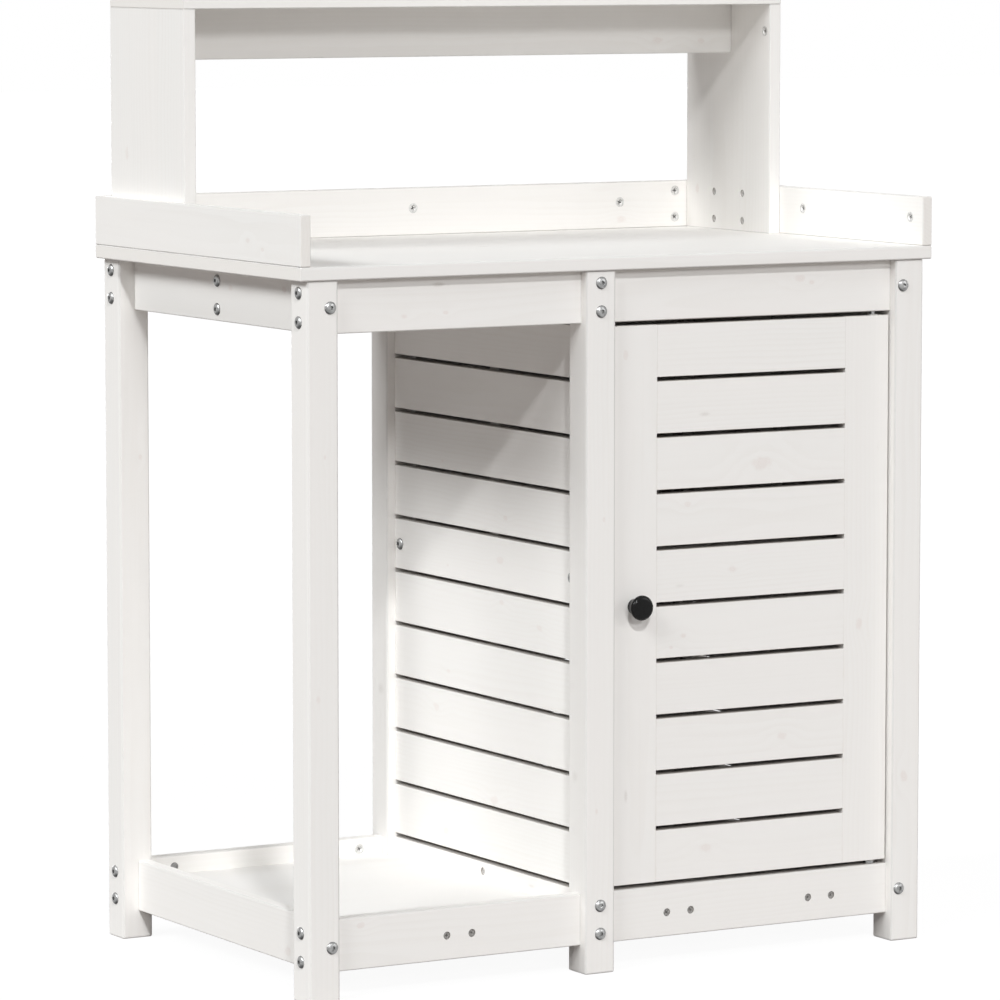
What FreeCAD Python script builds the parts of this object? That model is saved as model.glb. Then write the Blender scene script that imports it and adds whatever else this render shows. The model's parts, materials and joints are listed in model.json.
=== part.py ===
import FreeCAD, Part
import math
import os

# Potting bench in painted pine: an open tray bay on the left, a slatted cupboard with a
# hinged door on the right, a rimmed worktop and a shelf raised over its back edge.
# Millimetres. +Z is up, -Y is the front, and the origin is on the floor under the middle.

# ---- timber sections ----
LEG = 38.5                  # square legs
LEG_EASE = 2.2              # bevelled long edges of the legs
BOARD = 16.0                # thickness of rails, slats, door and shelf
BOARD_WIDTH = 59.0          # width of rails, slats and door stiles
EASE = 1.5                  # bevelled long edges of the boards
BATTEN_WIDTH = 22.5         # upright battens that join the slats from inside
FLOOR_BATTEN = 13.0         # thickness of the battens under the floors
PANEL = 3.0                 # plywood floors
SHELF_PANEL = 10.0          # inner shelf

# ---- frame ----
LEG_HEIGHT = 794.0
FRAME_DEPTH = 498.5         # over the legs, front to back
TRAY_BAY = 314.0            # clear width between the left and middle legs
CABINET_BAY = 376.5         # clear width between the middle and right legs
FOOT_GAP = 32.0             # floor to the bottom boards
SLAT_GAP = 4.9              # least gap between the boards of a slatted wall
SIDE_SETBACK = 20.3         # side boards, behind the outer face of the legs
FLOOR_TOP = 69.0            # upper face of both floors
GROOVE = 4.0                # depth of the floor grooves in the bottom boards
MIDDLE_LINE = 251.0         # cross rails and middle battens, behind the front of the legs
CABINET_BATTEN_PITCH = 192.0
SHELF_HEIGHT = 474.5        # upper edge of the inner shelf rails

# ---- worktop, rims and top shelf ----
TOP = 15.5
TOP_SIDE_OVERHANG = 9.5
TOP_FRONT_OVERHANG = 3.0
TOP_BACK_OVERHANG = 2.0
RIM_HEIGHT = 56.5
SIDE_RIM = 13.0
UPRIGHT = 15.5
UPRIGHT_WIDTH = 186.0
UPRIGHT_HEIGHT = 273.5
TOP_SHELF = 16.0
TOP_RAIL_SETBACK = 85.5     # rail under the top shelf, behind the shelf's front edge

# ---- door ----
DOOR_SIDE_GAP = 2.1
SWING_CLEAR = 0.3           # least distance of the turning edge from the leg
TENON = 12.0
TENON_THICKNESS = 6.0
TENON_SHOULDER = 7.0
PIN_RADIUS = 3.0
PIN_WEB = 2.0               # timber between a pivot pin and the bolt under it
PIN_IN_DOOR = 11.0
PIN_RUNNING = 0.08          # radial clearance of the pin in its bush
COLLAR_RADIUS = 6.0
BUSH_RADIUS = 5.0
BUSH_LENGTH = 13.0
BUSH_FLANGE_RADIUS = 7.0
BUSH_FLANGE = 1.2
REST_GAP = 0.3              # between parts that move past each other
KNOB_RADIUS = 14.25
KNOB_REACH = 21.0           # front of the knob from the face of the door
KNOB_CAP = 9.5              # thickness of the knob's head
KNOB_CROWN = 1.2            # rise of the knob's domed face
KNOB_EDGE = 2.6             # rounding of the head's rim
KNOB_COVE = 1.5             # hollow where the neck meets the flange and the head
KNOB_NECK_RADIUS = 7.0
KNOB_FLANGE_RADIUS = 9.0
KNOB_FLANGE = 2.5
KNOB_SCREW_DEPTH = 10.0     # screw inside the knob
CATCH_DROP = 30.0           # middle of the magnetic catch under the door's top edge
CATCH_BODY = (14.0, 34.0, 46.0)
CATCH_PLATE = (12.0, 1.2, 38.0)

# ---- hardware ----
FIT = 0.2                   # clearance all round fasteners, panels and tenons
BOLT_RADIUS = 3.0
BOLT_HEAD_RADIUS = 7.0
BOLT_CROWN_RADIUS = 4.8
BOLT_HEAD = 3.0
BOLT_PAIR = 32.0            # distance between the two bolts of one joint
NUT_RADIUS = 5.0
NUT_LENGTH = 13.0
NUT_INSET = 34.4            # nut from the end of its board
CAM_RADIUS = 6.0
CAM_DEPTH = 10.5
CAM_INSET = 32.0            # cam from the end of its board
RIM_CAM_EDGE = 26.0         # first and last cams of a side rim, from its ends
UPRIGHT_CAM_EDGE = 11.5     # cams of an upright, from its edges
BACK_RIM_CAM_SPREAD = 288.5
SCREW_RADIUS = 2.0
SCREW_HEAD_RADIUS = 4.0
SCREW_HEAD = 2.4
SCREW_SINK = 1.5            # face of the timber to the screw's head
BATTEN_SCREW = 42.0
FLAT_SCREW = 27.0
UPRIGHT_SCREW_LINES = (59.6, 123.0)     # from the front edge of the upright
UPRIGHT_SCREW_HEIGHTS = (12.5, 45.5)    # over the worktop
BRACKET = 25.0              # length of each leaf
BRACKET_WIDTH = 18.0
BRACKET_SHEET = 2.0
# Turned pieces are drawn with flats, fewer where they repeat or lie inside the timber.
FLATS = {"knob": 24, "head": 8, "core": 6}

# ---- lines that follow from the sizes ----
PIN_IN_FRAME = (BOARD_WIDTH - BOLT_PAIR) / 2 - BOLT_RADIUS - PIN_WEB
FRAME_WIDTH = 3 * LEG + TRAY_BAY + CABINET_BAY
RAIL_SETBACK = (LEG - BOARD) / 2
NOSE = max(KNOB_REACH - RAIL_SETBACK, TOP_FRONT_OVERHANG)
LEFT = -FRAME_WIDTH / 2
RIGHT = FRAME_WIDTH / 2
TAIL = max(TOP_BACK_OVERHANG, BOLT_HEAD)
FRONT = -(FRAME_DEPTH + TAIL - NOSE) / 2
BACK = FRONT + FRAME_DEPTH

TRAY_X = (LEFT + LEG, LEFT + LEG + TRAY_BAY)
CABINET_X = (TRAY_X[1] + LEG, RIGHT - LEG)
SIDE_Y = (FRONT + LEG, BACK - LEG)
FRONT_RAIL_Y = (FRONT + RAIL_SETBACK, FRONT + RAIL_SETBACK + BOARD)
BACK_RAIL_Y = (BACK - RAIL_SETBACK - BOARD, BACK - RAIL_SETBACK)
LEFT_RAIL_X = (LEFT + SIDE_SETBACK, LEFT + SIDE_SETBACK + BOARD)
RIGHT_RAIL_X = (RIGHT - SIDE_SETBACK - BOARD, RIGHT - SIDE_SETBACK)
PARTITION_X = (TRAY_X[1] + RAIL_SETBACK, TRAY_X[1] + RAIL_SETBACK + BOARD)
RAIL_Z = (FOOT_GAP, FOOT_GAP + BOARD_WIDTH)
APRON_Z = (LEG_HEIGHT - BOARD_WIDTH, LEG_HEIGHT)
SLAT_STEPS = int((APRON_Z[0] - RAIL_Z[0]) / (BOARD_WIDTH + SLAT_GAP))
SLAT_PITCH = (APRON_Z[0] - RAIL_Z[0]) / SLAT_STEPS
SLAT_Z = [
    (RAIL_Z[0] + step * SLAT_PITCH, RAIL_Z[1] + step * SLAT_PITCH)
    for step in range(1, SLAT_STEPS)
]
MIDDLE_Y = FRONT + MIDDLE_LINE
TOP_X = (LEFT - TOP_SIDE_OVERHANG, RIGHT + TOP_SIDE_OVERHANG)
TOP_Y = (FRONT - TOP_FRONT_OVERHANG, BACK + TOP_BACK_OVERHANG)
TOP_Z = (LEG_HEIGHT, LEG_HEIGHT + TOP)
RIM_Z = (TOP_Z[1], TOP_Z[1] + RIM_HEIGHT)
RIM_X = (TOP_X[0] + SIDE_RIM, TOP_X[1] - SIDE_RIM)
BACK_RIM_Y = (TOP_Y[1] - BOARD, TOP_Y[1])
UPRIGHT_Y = (BACK_RIM_Y[0] - UPRIGHT_WIDTH, BACK_RIM_Y[0])
UPRIGHT_Z = (TOP_Z[1], TOP_Z[1] + UPRIGHT_HEIGHT)
TOP_RAIL_Y = (UPRIGHT_Y[0] + TOP_RAIL_SETBACK, UPRIGHT_Y[0] + TOP_RAIL_SETBACK + BOARD)
TOP_RAIL_Z = (UPRIGHT_Z[1] - BOARD_WIDTH, UPRIGHT_Z[1])

# The door turns on pins set so far into it that its inner corner just clears the leg.
DOOR_X = (CABINET_X[0] + DOOR_SIDE_GAP, CABINET_X[1] - DOOR_SIDE_GAP)
DOOR_Z = (SLAT_Z[0][0], SLAT_Z[-1][1])
SWING_GAP = DOOR_SIDE_GAP - SWING_CLEAR
PIVOT_INSET = ((BOARD / 2) ** 2 - SWING_GAP**2) / (2 * SWING_GAP)
PIVOT_X = DOOR_X[1] - PIVOT_INSET
PIVOT_Y = (FRONT_RAIL_Y[0] + FRONT_RAIL_Y[1]) / 2
SWING_REACH = PIVOT_Y + PIVOT_INSET + SWING_GAP
KNOB_X = DOOR_X[0] + BOARD_WIDTH / 2
KNOB_Z = (DOOR_Z[0] + DOOR_Z[1]) / 2
CATCH_Z = DOOR_Z[1] - CATCH_DROP

FRONT_BATTEN = max(SIDE_Y[0], SWING_REACH + SWING_CLEAR)
FRONT_BATTEN_Y = (FRONT_BATTEN, FRONT_BATTEN + BATTEN_WIDTH)
BACK_BATTEN_Y = (SIDE_Y[1] - BATTEN_WIDTH, SIDE_Y[1])
MIDDLE_BATTEN_Y = (MIDDLE_Y - BATTEN_WIDTH / 2, MIDDLE_Y + BATTEN_WIDTH / 2)
PARTITION_BATTEN_X = (PARTITION_X[1], PARTITION_X[1] + BOARD)
SIDE_BATTEN_X = (RIGHT_RAIL_X[0] - BOARD, RIGHT_RAIL_X[0])
INNER_SHELF_Z = (SHELF_HEIGHT, SHELF_HEIGHT + SHELF_PANEL)
SHELF_RAIL_Z = (SHELF_HEIGHT - BOARD_WIDTH, SHELF_HEIGHT)
BACK_PANEL_BATTEN_Y = (BACK_RAIL_Y[0] - BOARD, BACK_RAIL_Y[0])
SHELF_LINES = (sum(FRONT_BATTEN_Y) / 2, BACK_PANEL_BATTEN_Y[0] - BOARD / 2)

AXES = {"x": FreeCAD.Vector(1, 0, 0), "y": FreeCAD.Vector(0, 1, 0), "z": FreeCAD.Vector(0, 0, 1)}
X, Y, Z = AXES["x"], AXES["y"], AXES["z"]

nodes = {}      # node name -> its solids
bores = []      # spaces that every wooden piece gives up to fasteners


# ---- timber ----
def block(x, y, z):
    """Square-edged block between three pairs of limits."""
    corner = FreeCAD.Vector(x[0], y[0], z[0])
    return Part.makeBox(x[1] - x[0], y[1] - y[0], z[1] - z[0], corner)


def grown(x, y, z, by):
    """Block that is larger on every side."""
    return block(*[(low - by, high + by) for low, high in (x, y, z)])


def edges_along(solid, axis):
    """Straight edges of a block that run along one axis."""
    return [
        edge
        for edge in solid.Edges
        if abs(abs(edge.tangentAt(edge.FirstParameter).dot(axis)) - 1) < 1e-6
    ]


def eased(x, y, z, axis, bevel=EASE):
    """Board or post with a bevel on the four edges along its grain."""
    board = block(x, y, z)
    return board.makeChamfer(bevel, edges_along(board, axis))


def middle(limits):
    return (limits[0] + limits[1]) / 2


def slat_levels(x, y, axis):
    """The loose boards of one slatted wall."""
    return [eased(x, y, z, axis) for z in SLAT_Z]


# ---- hardware ----
def cross_axes(along):
    """Two axes square to a direction, the same for both of its senses."""
    if abs(along.z) > 0.5:
        return X, Y
    if abs(along.y) > 0.5:
        return X, Z
    return Y, Z


def ring(flats, radius, centre, along):
    """Corners of a polygon round an axis."""
    u, v = cross_axes(along)
    angles = [(corner + 0.5) * 2 * math.pi / flats for corner in range(flats)]
    return [centre + u * (radius * math.cos(a)) + v * (radius * math.sin(a)) for a in angles]


def sheet(points):
    """Flat face inside a closed line of corners."""
    return Part.Face(Part.makePolygon(points + points[:1]))


def rod(flats, radius, start, along, length):
    """Straight bar drawn with flats."""
    return sheet(ring(flats, radius, start, along)).extrude(along * length)


def turned(flats, profile, start, along):
    """Turned piece drawn with flats, from its (distance, radius) steps along the axis."""
    rings = [ring(flats, radius, start + along * out, along) for out, radius in profile]
    faces = [sheet(rings[0]), sheet(rings[-1])]
    for near, far in zip(rings, rings[1:]):
        for corner in range(flats):
            after = (corner + 1) % flats
            faces.append(sheet([near[corner], near[after], far[after], far[corner]]))
    return Part.Solid(Part.Shell(faces))


def flat_distance(flats, radius):
    """Distance of a flat from the axis."""
    return radius * math.cos(math.pi / flats)


def bolt_joint(node, seat, along, reach, inward, half):
    """Domed bolt from its seat to a barrel nut let into the inner face of the far board."""
    length = reach - flat_distance(FLATS["core"], NUT_RADIUS)
    crown = [(0, BOLT_HEAD_RADIUS), (BOLT_HEAD, BOLT_CROWN_RADIUS)]
    head = turned(FLATS["head"], crown, seat, along * -1)
    shank = rod(FLATS["core"], BOLT_RADIUS, seat, along, length)
    nodes.setdefault(node, []).append(head.fuse(shank).removeSplitter())
    bores.append(rod(FLATS["core"], BOLT_RADIUS + FIT, seat, along, length))
    face = seat + along * reach + inward * half
    nut = rod(FLATS["core"], NUT_RADIUS, face, inward * -1, NUT_LENGTH)
    nodes.setdefault("barrel_nuts", []).append(nut)
    bores.append(rod(FLATS["core"], NUT_RADIUS + FIT, face, inward * -1, NUT_LENGTH + FIT))


def bolt_pair(node, seat, along, reach, inward, half=BOARD / 2):
    """Two bolts, one over the other."""
    for lift in (-BOLT_PAIR / 2, BOLT_PAIR / 2):
        bolt_joint(node, seat + Z * lift, along, reach, inward, half)


def cam_joint(end, along, inward, half):
    """Cam let into the inner face of a board, near the end that it draws tight."""
    face = end + along * CAM_INSET + inward * half
    cam = rod(FLATS["head"], CAM_RADIUS, face, inward * -1, CAM_DEPTH)
    nodes.setdefault("cam_locks", []).append(cam)
    bores.append(rod(FLATS["head"], CAM_RADIUS + FIT, face, inward * -1, CAM_DEPTH + FIT))


def wood_screw(node, face, along, length):
    """Countersunk screw, driven under the face that it goes in through."""
    for growth, store in ((0.0, nodes.setdefault(node, [])), (FIT, bores)):
        core = SCREW_RADIUS + growth
        wide = SCREW_HEAD_RADIUS + growth
        head = SCREW_SINK
        steps = [(head, wide), (head + SCREW_HEAD, core), (head + length + growth, core)]
        if growth:
            steps.insert(0, (0, wide))
        store.append(turned(FLATS["core"], steps, face, along))


# ---- frame ----
def make_legs():
    rows = {"front": (FRONT, SIDE_Y[0]), "back": (SIDE_Y[1], BACK)}
    columns = {
        "left": (LEFT, TRAY_X[0]),
        "middle": (TRAY_X[1], CABINET_X[0]),
        "right": (CABINET_X[1], RIGHT),
    }
    for row, y in rows.items():
        for column, x in columns.items():
            nodes[f"leg_{row}_{column}"] = [eased(x, y, (0, LEG_HEIGHT), Z, LEG_EASE)]


def floor_limits(bay_x):
    """Plan limits of a floor panel, into the grooves of its four bottom boards."""
    inner_y = (FRONT_RAIL_Y[1] - GROOVE, BACK_RAIL_Y[0] + GROOVE)
    return (bay_x[0] - GROOVE, bay_x[1] + GROOVE), inner_y, (FLOOR_TOP - PANEL, FLOOR_TOP)


TRAY_FLOOR = floor_limits((LEFT_RAIL_X[1], PARTITION_X[0]))
CABINET_FLOOR = floor_limits((PARTITION_X[1], RIGHT_RAIL_X[0]))


def grooved(board):
    """Bottom board with the grooves that hold the floors."""
    return board.cut([grown(*TRAY_FLOOR, FIT), grown(*CABINET_FLOOR, FIT)])


def make_frame_boards():
    """Aprons under the worktop and rails over the floor, between the legs."""
    bays = {"left": TRAY_X, "right": CABINET_X}
    rows = {"front": FRONT_RAIL_Y, "back": BACK_RAIL_Y}
    for row, y in rows.items():
        for bay, x in bays.items():
            nodes[f"{row}_apron_{bay}"] = [eased(x, y, APRON_Z, X)]
            nodes[f"{row}_rail_{bay}"] = [grooved(eased(x, y, RAIL_Z, X))]
    sides = {"left": LEFT_RAIL_X, "right": RIGHT_RAIL_X}
    for side, x in sides.items():
        nodes[f"{side}_apron"] = [eased(x, SIDE_Y, APRON_Z, Y)]
        nodes[f"{side}_rail"] = [grooved(eased(x, SIDE_Y, RAIL_Z, Y))]
    nodes["partition_top_board"] = [eased(PARTITION_X, SIDE_Y, APRON_Z, Y)]
    nodes["partition_bottom_board"] = [grooved(eased(PARTITION_X, SIDE_Y, RAIL_Z, Y))]


def make_slatted_walls():
    """Slats at the same levels in the partition, the right side and the cabinet's back."""
    nodes["partition_slats"] = slat_levels(PARTITION_X, SIDE_Y, Y)
    nodes["side_slats"] = slat_levels(RIGHT_RAIL_X, SIDE_Y, Y)
    nodes["back_slats"] = slat_levels(CABINET_X, BACK_RAIL_Y, X)
    full = (FLOOR_TOP, LEG_HEIGHT)
    under_cross_rail = (FLOOR_TOP, APRON_Z[0])
    for node, x in (("partition_battens", PARTITION_BATTEN_X), ("side_battens", SIDE_BATTEN_X)):
        nodes[node] = [
            block(x, FRONT_BATTEN_Y, full),
            block(x, MIDDLE_BATTEN_Y, under_cross_rail),
            block(x, BACK_BATTEN_Y, full),
        ]
    left_x = (PARTITION_BATTEN_X[1], PARTITION_BATTEN_X[1] + BATTEN_WIDTH)
    right_x = (SIDE_BATTEN_X[0] - BATTEN_WIDTH, SIDE_BATTEN_X[0])
    nodes["back_battens"] = [block(x, BACK_PANEL_BATTEN_Y, full) for x in (left_x, right_x)]


def make_cross_rails():
    """Rails that carry the worktop half way back."""
    y = (MIDDLE_Y - BOARD / 2, MIDDLE_Y + BOARD / 2)
    spans = {"left": (LEFT_RAIL_X[1], PARTITION_X[0]), "right": (PARTITION_X[1], RIGHT_RAIL_X[0])}
    for bay, x in spans.items():
        nodes[f"cross_rail_{bay}"] = [eased(x, y, APRON_Z, X)]


def corner_posts(bay_x):
    """The space that the four legs of a bay take out of its floor."""
    posts = []
    for x in ((bay_x[0] - LEG, bay_x[0]), (bay_x[1], bay_x[1] + LEG)):
        for y in ((FRONT, SIDE_Y[0]), (SIDE_Y[1], BACK)):
            posts.append(grown(x, y, (0, LEG_HEIGHT), FIT))
    return posts


def make_floors():
    """Plywood floors in their grooves, each carried by battens between front and back rail."""
    nodes["tray_floor"] = [block(*TRAY_FLOOR).cut(corner_posts(TRAY_X))]
    nodes["cabinet_floor"] = [block(*CABINET_FLOOR).cut(corner_posts(CABINET_X))]
    cabinet_middle = middle(CABINET_X)
    lines = {
        "tray_batten": [middle(TRAY_X)],
        "cabinet_battens": [
            cabinet_middle - CABINET_BATTEN_PITCH / 2,
            cabinet_middle + CABINET_BATTEN_PITCH / 2,
        ],
    }
    under = FLOOR_TOP - PANEL
    z = (under - FLOOR_BATTEN, under)
    for node, centres in lines.items():
        for centre in centres:
            x = (centre - BOARD_WIDTH / 2, centre + BOARD_WIDTH / 2)
            board = eased(x, (FRONT_RAIL_Y[1], BACK_RAIL_Y[0]), z, Y)
            nodes.setdefault(node, []).append(board)
            for side in (-BOLT_PAIR / 2, BOLT_PAIR / 2):
                for face, along in ((FRONT_RAIL_Y[0], Y), (BACK_RAIL_Y[1], Y * -1)):
                    head = FreeCAD.Vector(centre + side, face, middle(z))
                    wood_screw("batten_screws", head, along, BATTEN_SCREW)


def make_inner_shelf():
    """Loose shelf panel on two rails that are bolted through the slatted walls."""
    x = (PARTITION_BATTEN_X[1], SIDE_BATTEN_X[0])
    for node, line in zip(("inner_shelf_rail_front", "inner_shelf_rail_back"), SHELF_LINES):
        nodes[node] = [eased(x, (line - BOARD / 2, line + BOARD / 2), SHELF_RAIL_Z, X)]
    panel_y = (SHELF_LINES[0] - BOARD / 2, SHELF_LINES[1] + BOARD / 2)
    nodes["inner_shelf"] = [block((x[0] + FIT, x[1] - FIT), panel_y, INNER_SHELF_Z)]


# ---- worktop and top shelf ----
def make_worktop():
    top = eased(TOP_X, TOP_Y, TOP_Z, X)
    nodes["tabletop"] = [top]
    for node, x in (("rim_left", (TOP_X[0], RIM_X[0])), ("rim_right", (RIM_X[1], TOP_X[1]))):
        nodes[node] = [eased(x, TOP_Y, RIM_Z, Y)]
    nodes["rim_back"] = [eased(RIM_X, BACK_RIM_Y, RIM_Z, X)]


def make_top_shelf():
    """Uprights inside the side rims, the shelf on their ends and the rail between them."""
    inner = (RIM_X[0] + UPRIGHT, RIM_X[1] - UPRIGHT)
    nodes["upright_left"] = [eased((RIM_X[0], inner[0]), UPRIGHT_Y, UPRIGHT_Z, Z)]
    nodes["upright_right"] = [eased((inner[1], RIM_X[1]), UPRIGHT_Y, UPRIGHT_Z, Z)]
    shelf_z = (UPRIGHT_Z[1], UPRIGHT_Z[1] + TOP_SHELF)
    nodes["top_shelf"] = [eased(RIM_X, UPRIGHT_Y, shelf_z, X)]
    nodes["top_shelf_rail"] = [eased(inner, TOP_RAIL_Y, TOP_RAIL_Z, X)]


# ---- door ----
def make_door():
    """Two stiles with ten tenoned slats, flush with the rails and a slat gap below and above."""
    stile_x = {
        "left": (DOOR_X[0], DOOR_X[0] + BOARD_WIDTH),
        "right": (DOOR_X[1] - BOARD_WIDTH, DOOR_X[1]),
    }
    slot_x = (stile_x["left"][1], stile_x["right"][0])
    tenon_x = (slot_x[0] - TENON, slot_x[1] + TENON)
    tenon_y = (PIVOT_Y - TENON_THICKNESS / 2, PIVOT_Y + TENON_THICKNESS / 2)
    mortises = []
    nodes["door_slats"] = []
    for z in SLAT_Z:
        tenon_z = (z[0] + TENON_SHOULDER, z[1] - TENON_SHOULDER)
        slat = eased(slot_x, FRONT_RAIL_Y, z, X)
        slat = slat.fuse(block(tenon_x, tenon_y, tenon_z)).removeSplitter()
        nodes["door_slats"].append(slat)
        mortises.append(grown(tenon_x, tenon_y, tenon_z, FIT))
    for side, x in stile_x.items():
        stile = eased(x, FRONT_RAIL_Y, DOOR_Z, Z)
        nodes[f"door_stile_{side}"] = [stile.cut(mortises)]


def make_pivots():
    """Pins in the apron and the rail that turn in flanged bushes in the right stile."""
    nodes["pivot_pins"] = []
    nodes["pivot_bushes"] = []
    ends = ((RAIL_Z[1], DOOR_Z[0], Z), (APRON_Z[0], DOOR_Z[1], Z * -1))
    for frame_z, door_z, inward in ends:
        gap = abs(door_z - frame_z)
        root = FreeCAD.Vector(PIVOT_X, PIVOT_Y, frame_z)
        mouth = FreeCAD.Vector(PIVOT_X, PIVOT_Y, door_z)
        length = PIN_IN_FRAME + gap + PIN_IN_DOOR
        pin = Part.makeCylinder(PIN_RADIUS, length, root - inward * PIN_IN_FRAME, inward)
        if inward.z > 0:
            collar_height = gap - BUSH_FLANGE - REST_GAP
            collar = rod(FLATS["head"], COLLAR_RADIUS, root, inward, collar_height)
            pin = pin.fuse(collar).removeSplitter()
        nodes["pivot_pins"].append(pin)
        flange_mouth = mouth - inward * BUSH_FLANGE
        flange = rod(FLATS["head"], BUSH_FLANGE_RADIUS, flange_mouth, inward, BUSH_FLANGE)
        sleeve = rod(FLATS["head"], BUSH_RADIUS, mouth, inward, BUSH_LENGTH)
        core = Part.makeCylinder(
            PIN_RADIUS + PIN_RUNNING, BUSH_FLANGE + BUSH_LENGTH, flange_mouth, inward
        )
        nodes["pivot_bushes"].append(flange.fuse(sleeve).cut(core).removeSplitter())
        frame_hole = root - inward * PIN_IN_FRAME
        bores.append(Part.makeCylinder(PIN_RADIUS, PIN_IN_FRAME, frame_hole, inward))
        bores.append(rod(FLATS["head"], BUSH_RADIUS, mouth, inward, BUSH_LENGTH))


def make_knob():
    """Turned mushroom knob: flange on the door, waisted neck and a domed cap."""
    under = KNOB_REACH - KNOB_CAP
    rim = KNOB_REACH - KNOB_CROWN - KNOB_EDGE
    profile = [
        (0, KNOB_FLANGE_RADIUS),
        (KNOB_FLANGE / 2, KNOB_FLANGE_RADIUS),
        (KNOB_FLANGE, KNOB_NECK_RADIUS + KNOB_COVE),
        (KNOB_FLANGE + KNOB_COVE, KNOB_NECK_RADIUS),
        (under - KNOB_COVE, KNOB_NECK_RADIUS),
        (under, KNOB_NECK_RADIUS + KNOB_COVE),
        (rim - KNOB_EDGE, KNOB_RADIUS - KNOB_EDGE / 2),
        (rim, KNOB_RADIUS),
        (rim + KNOB_EDGE / 2, KNOB_RADIUS - KNOB_EDGE / 8),
        (rim + KNOB_EDGE, KNOB_RADIUS - KNOB_EDGE),
        (KNOB_REACH, KNOB_RADIUS / 2),
    ]
    front = FreeCAD.Vector(KNOB_X, FRONT_RAIL_Y[0], KNOB_Z)
    back = FreeCAD.Vector(KNOB_X, FRONT_RAIL_Y[1], KNOB_Z)
    depth = BOARD + KNOB_SCREW_DEPTH
    shank = rod(FLATS["core"], SCREW_RADIUS, back, Y * -1, depth)
    head = turned(FLATS["head"], [(0, SCREW_HEAD_RADIUS), (SCREW_HEAD, BOLT_RADIUS)], back, Y)
    hole = rod(FLATS["core"], SCREW_RADIUS + FIT, back, Y * -1, depth + FIT)
    nodes["knob_screw"] = [head.fuse(shank).removeSplitter()]
    nodes["door_knob"] = [turned(FLATS["knob"], profile, front, Y * -1).cut(hole)]
    bores.append(rod(FLATS["core"], SCREW_RADIUS + FIT, back, Y * -1, BOARD))


def make_catch():
    """Magnetic catch on the partition's front batten and its plate on the door."""
    width, depth, height = CATCH_BODY
    plate_width, plate, plate_height = CATCH_PLATE
    x = (PARTITION_BATTEN_X[1], PARTITION_BATTEN_X[1] + width)
    front = FRONT_RAIL_Y[1] + plate + REST_GAP
    z = (CATCH_Z - height / 2, CATCH_Z + height / 2)
    nodes["magnetic_catch"] = [eased(x, (front, front + depth), z, Y)]
    plate_x = (middle(x) - plate_width / 2, middle(x) + plate_width / 2)
    plate_y = (FRONT_RAIL_Y[1], FRONT_RAIL_Y[1] + plate)
    plate_z = (CATCH_Z - plate_height / 2, CATCH_Z + plate_height / 2)
    nodes["catch_plate"] = [block(plate_x, plate_y, plate_z)]


# ---- joints ----
def make_leg_bolts():
    """Bolts through the outer legs into the rails, and through the middle legs into the partition."""
    reach = LEG + NUT_INSET
    heights = [middle(RAIL_Z), middle(APRON_Z)]
    for height in heights:
        for side, along in ((LEFT, X), (RIGHT, X * -1)):
            for y, inward in ((FRONT_RAIL_Y, Y), (BACK_RAIL_Y, Y * -1)):
                seat = FreeCAD.Vector(side, middle(y), height)
                bolt_pair("leg_bolts", seat, along, reach, inward)
        for face, along in ((FRONT, Y), (BACK, Y * -1)):
            for x, inward in ((LEFT_RAIL_X, X), (RIGHT_RAIL_X, X * -1)):
                seat = FreeCAD.Vector(middle(x), face, height)
                bolt_joint("leg_bolts", seat, along, reach, inward, BOARD / 2)
            seat = FreeCAD.Vector(middle(PARTITION_X), face, height)
            bolt_pair("leg_bolts", seat, along, reach, X)


def make_short_bolts():
    """Bolts through the aprons into the cross rails, and through slats into the shelf rails."""
    reach = BOARD + NUT_INSET
    for side, along in ((LEFT_RAIL_X[0], X), (RIGHT_RAIL_X[1], X * -1)):
        seat = FreeCAD.Vector(side, MIDDLE_Y, middle(APRON_Z))
        bolt_pair("short_bolts", seat, along, reach, Y)
    height = middle(SHELF_RAIL_Z)
    for side, along in ((PARTITION_X[0], X), (RIGHT_RAIL_X[1], X * -1)):
        for line, inward in zip(SHELF_LINES, (Y, Y * -1)):
            seat = FreeCAD.Vector(side, line, height)
            bolt_joint("short_bolts", seat, along, reach, inward, BOARD / 2)


def make_frame_cams():
    """Cams that draw the rails to the middle legs and the cross rails to the partition."""
    ends = ((TRAY_X[1], X * -1), (CABINET_X[0], X))
    for height in (middle(RAIL_Z), middle(APRON_Z)):
        for end, along in ends:
            for y, inward in ((FRONT_RAIL_Y, Y), (BACK_RAIL_Y, Y * -1)):
                point = FreeCAD.Vector(end, middle(y), height + BOLT_PAIR / 2)
                cam_joint(point, along, inward, BOARD / 2)
    for end, along in ((PARTITION_X[0], X * -1), (PARTITION_X[1], X)):
        point = FreeCAD.Vector(end, MIDDLE_Y, middle(APRON_Z))
        cam_joint(point, along, Y, BOARD / 2)


def make_rim_cams():
    """Cams that hold the rims to the worktop and the back rim to the side rims."""
    bottom = RIM_Z[0]
    for x, inward in ((TOP_X[0] + SIDE_RIM / 2, X), (TOP_X[1] - SIDE_RIM / 2, X * -1)):
        for y in (TOP_Y[0] + RIM_CAM_EDGE, middle(TOP_Y), TOP_Y[1] - RIM_CAM_EDGE):
            cam_joint(FreeCAD.Vector(x, y, bottom), Z, inward, SIDE_RIM / 2)
    back_line = middle(BACK_RIM_Y)
    for offset in (-BACK_RIM_CAM_SPREAD, 0, BACK_RIM_CAM_SPREAD):
        cam_joint(FreeCAD.Vector(offset, back_line, bottom), Z, Y * -1, BOARD / 2)
    for end, along in ((RIM_X[0], X), (RIM_X[1], X * -1)):
        for lift in (-BOLT_PAIR / 2, BOLT_PAIR / 2):
            point = FreeCAD.Vector(end, back_line, middle(RIM_Z) + lift)
            cam_joint(point, along, Y * -1, BOARD / 2)


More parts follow.
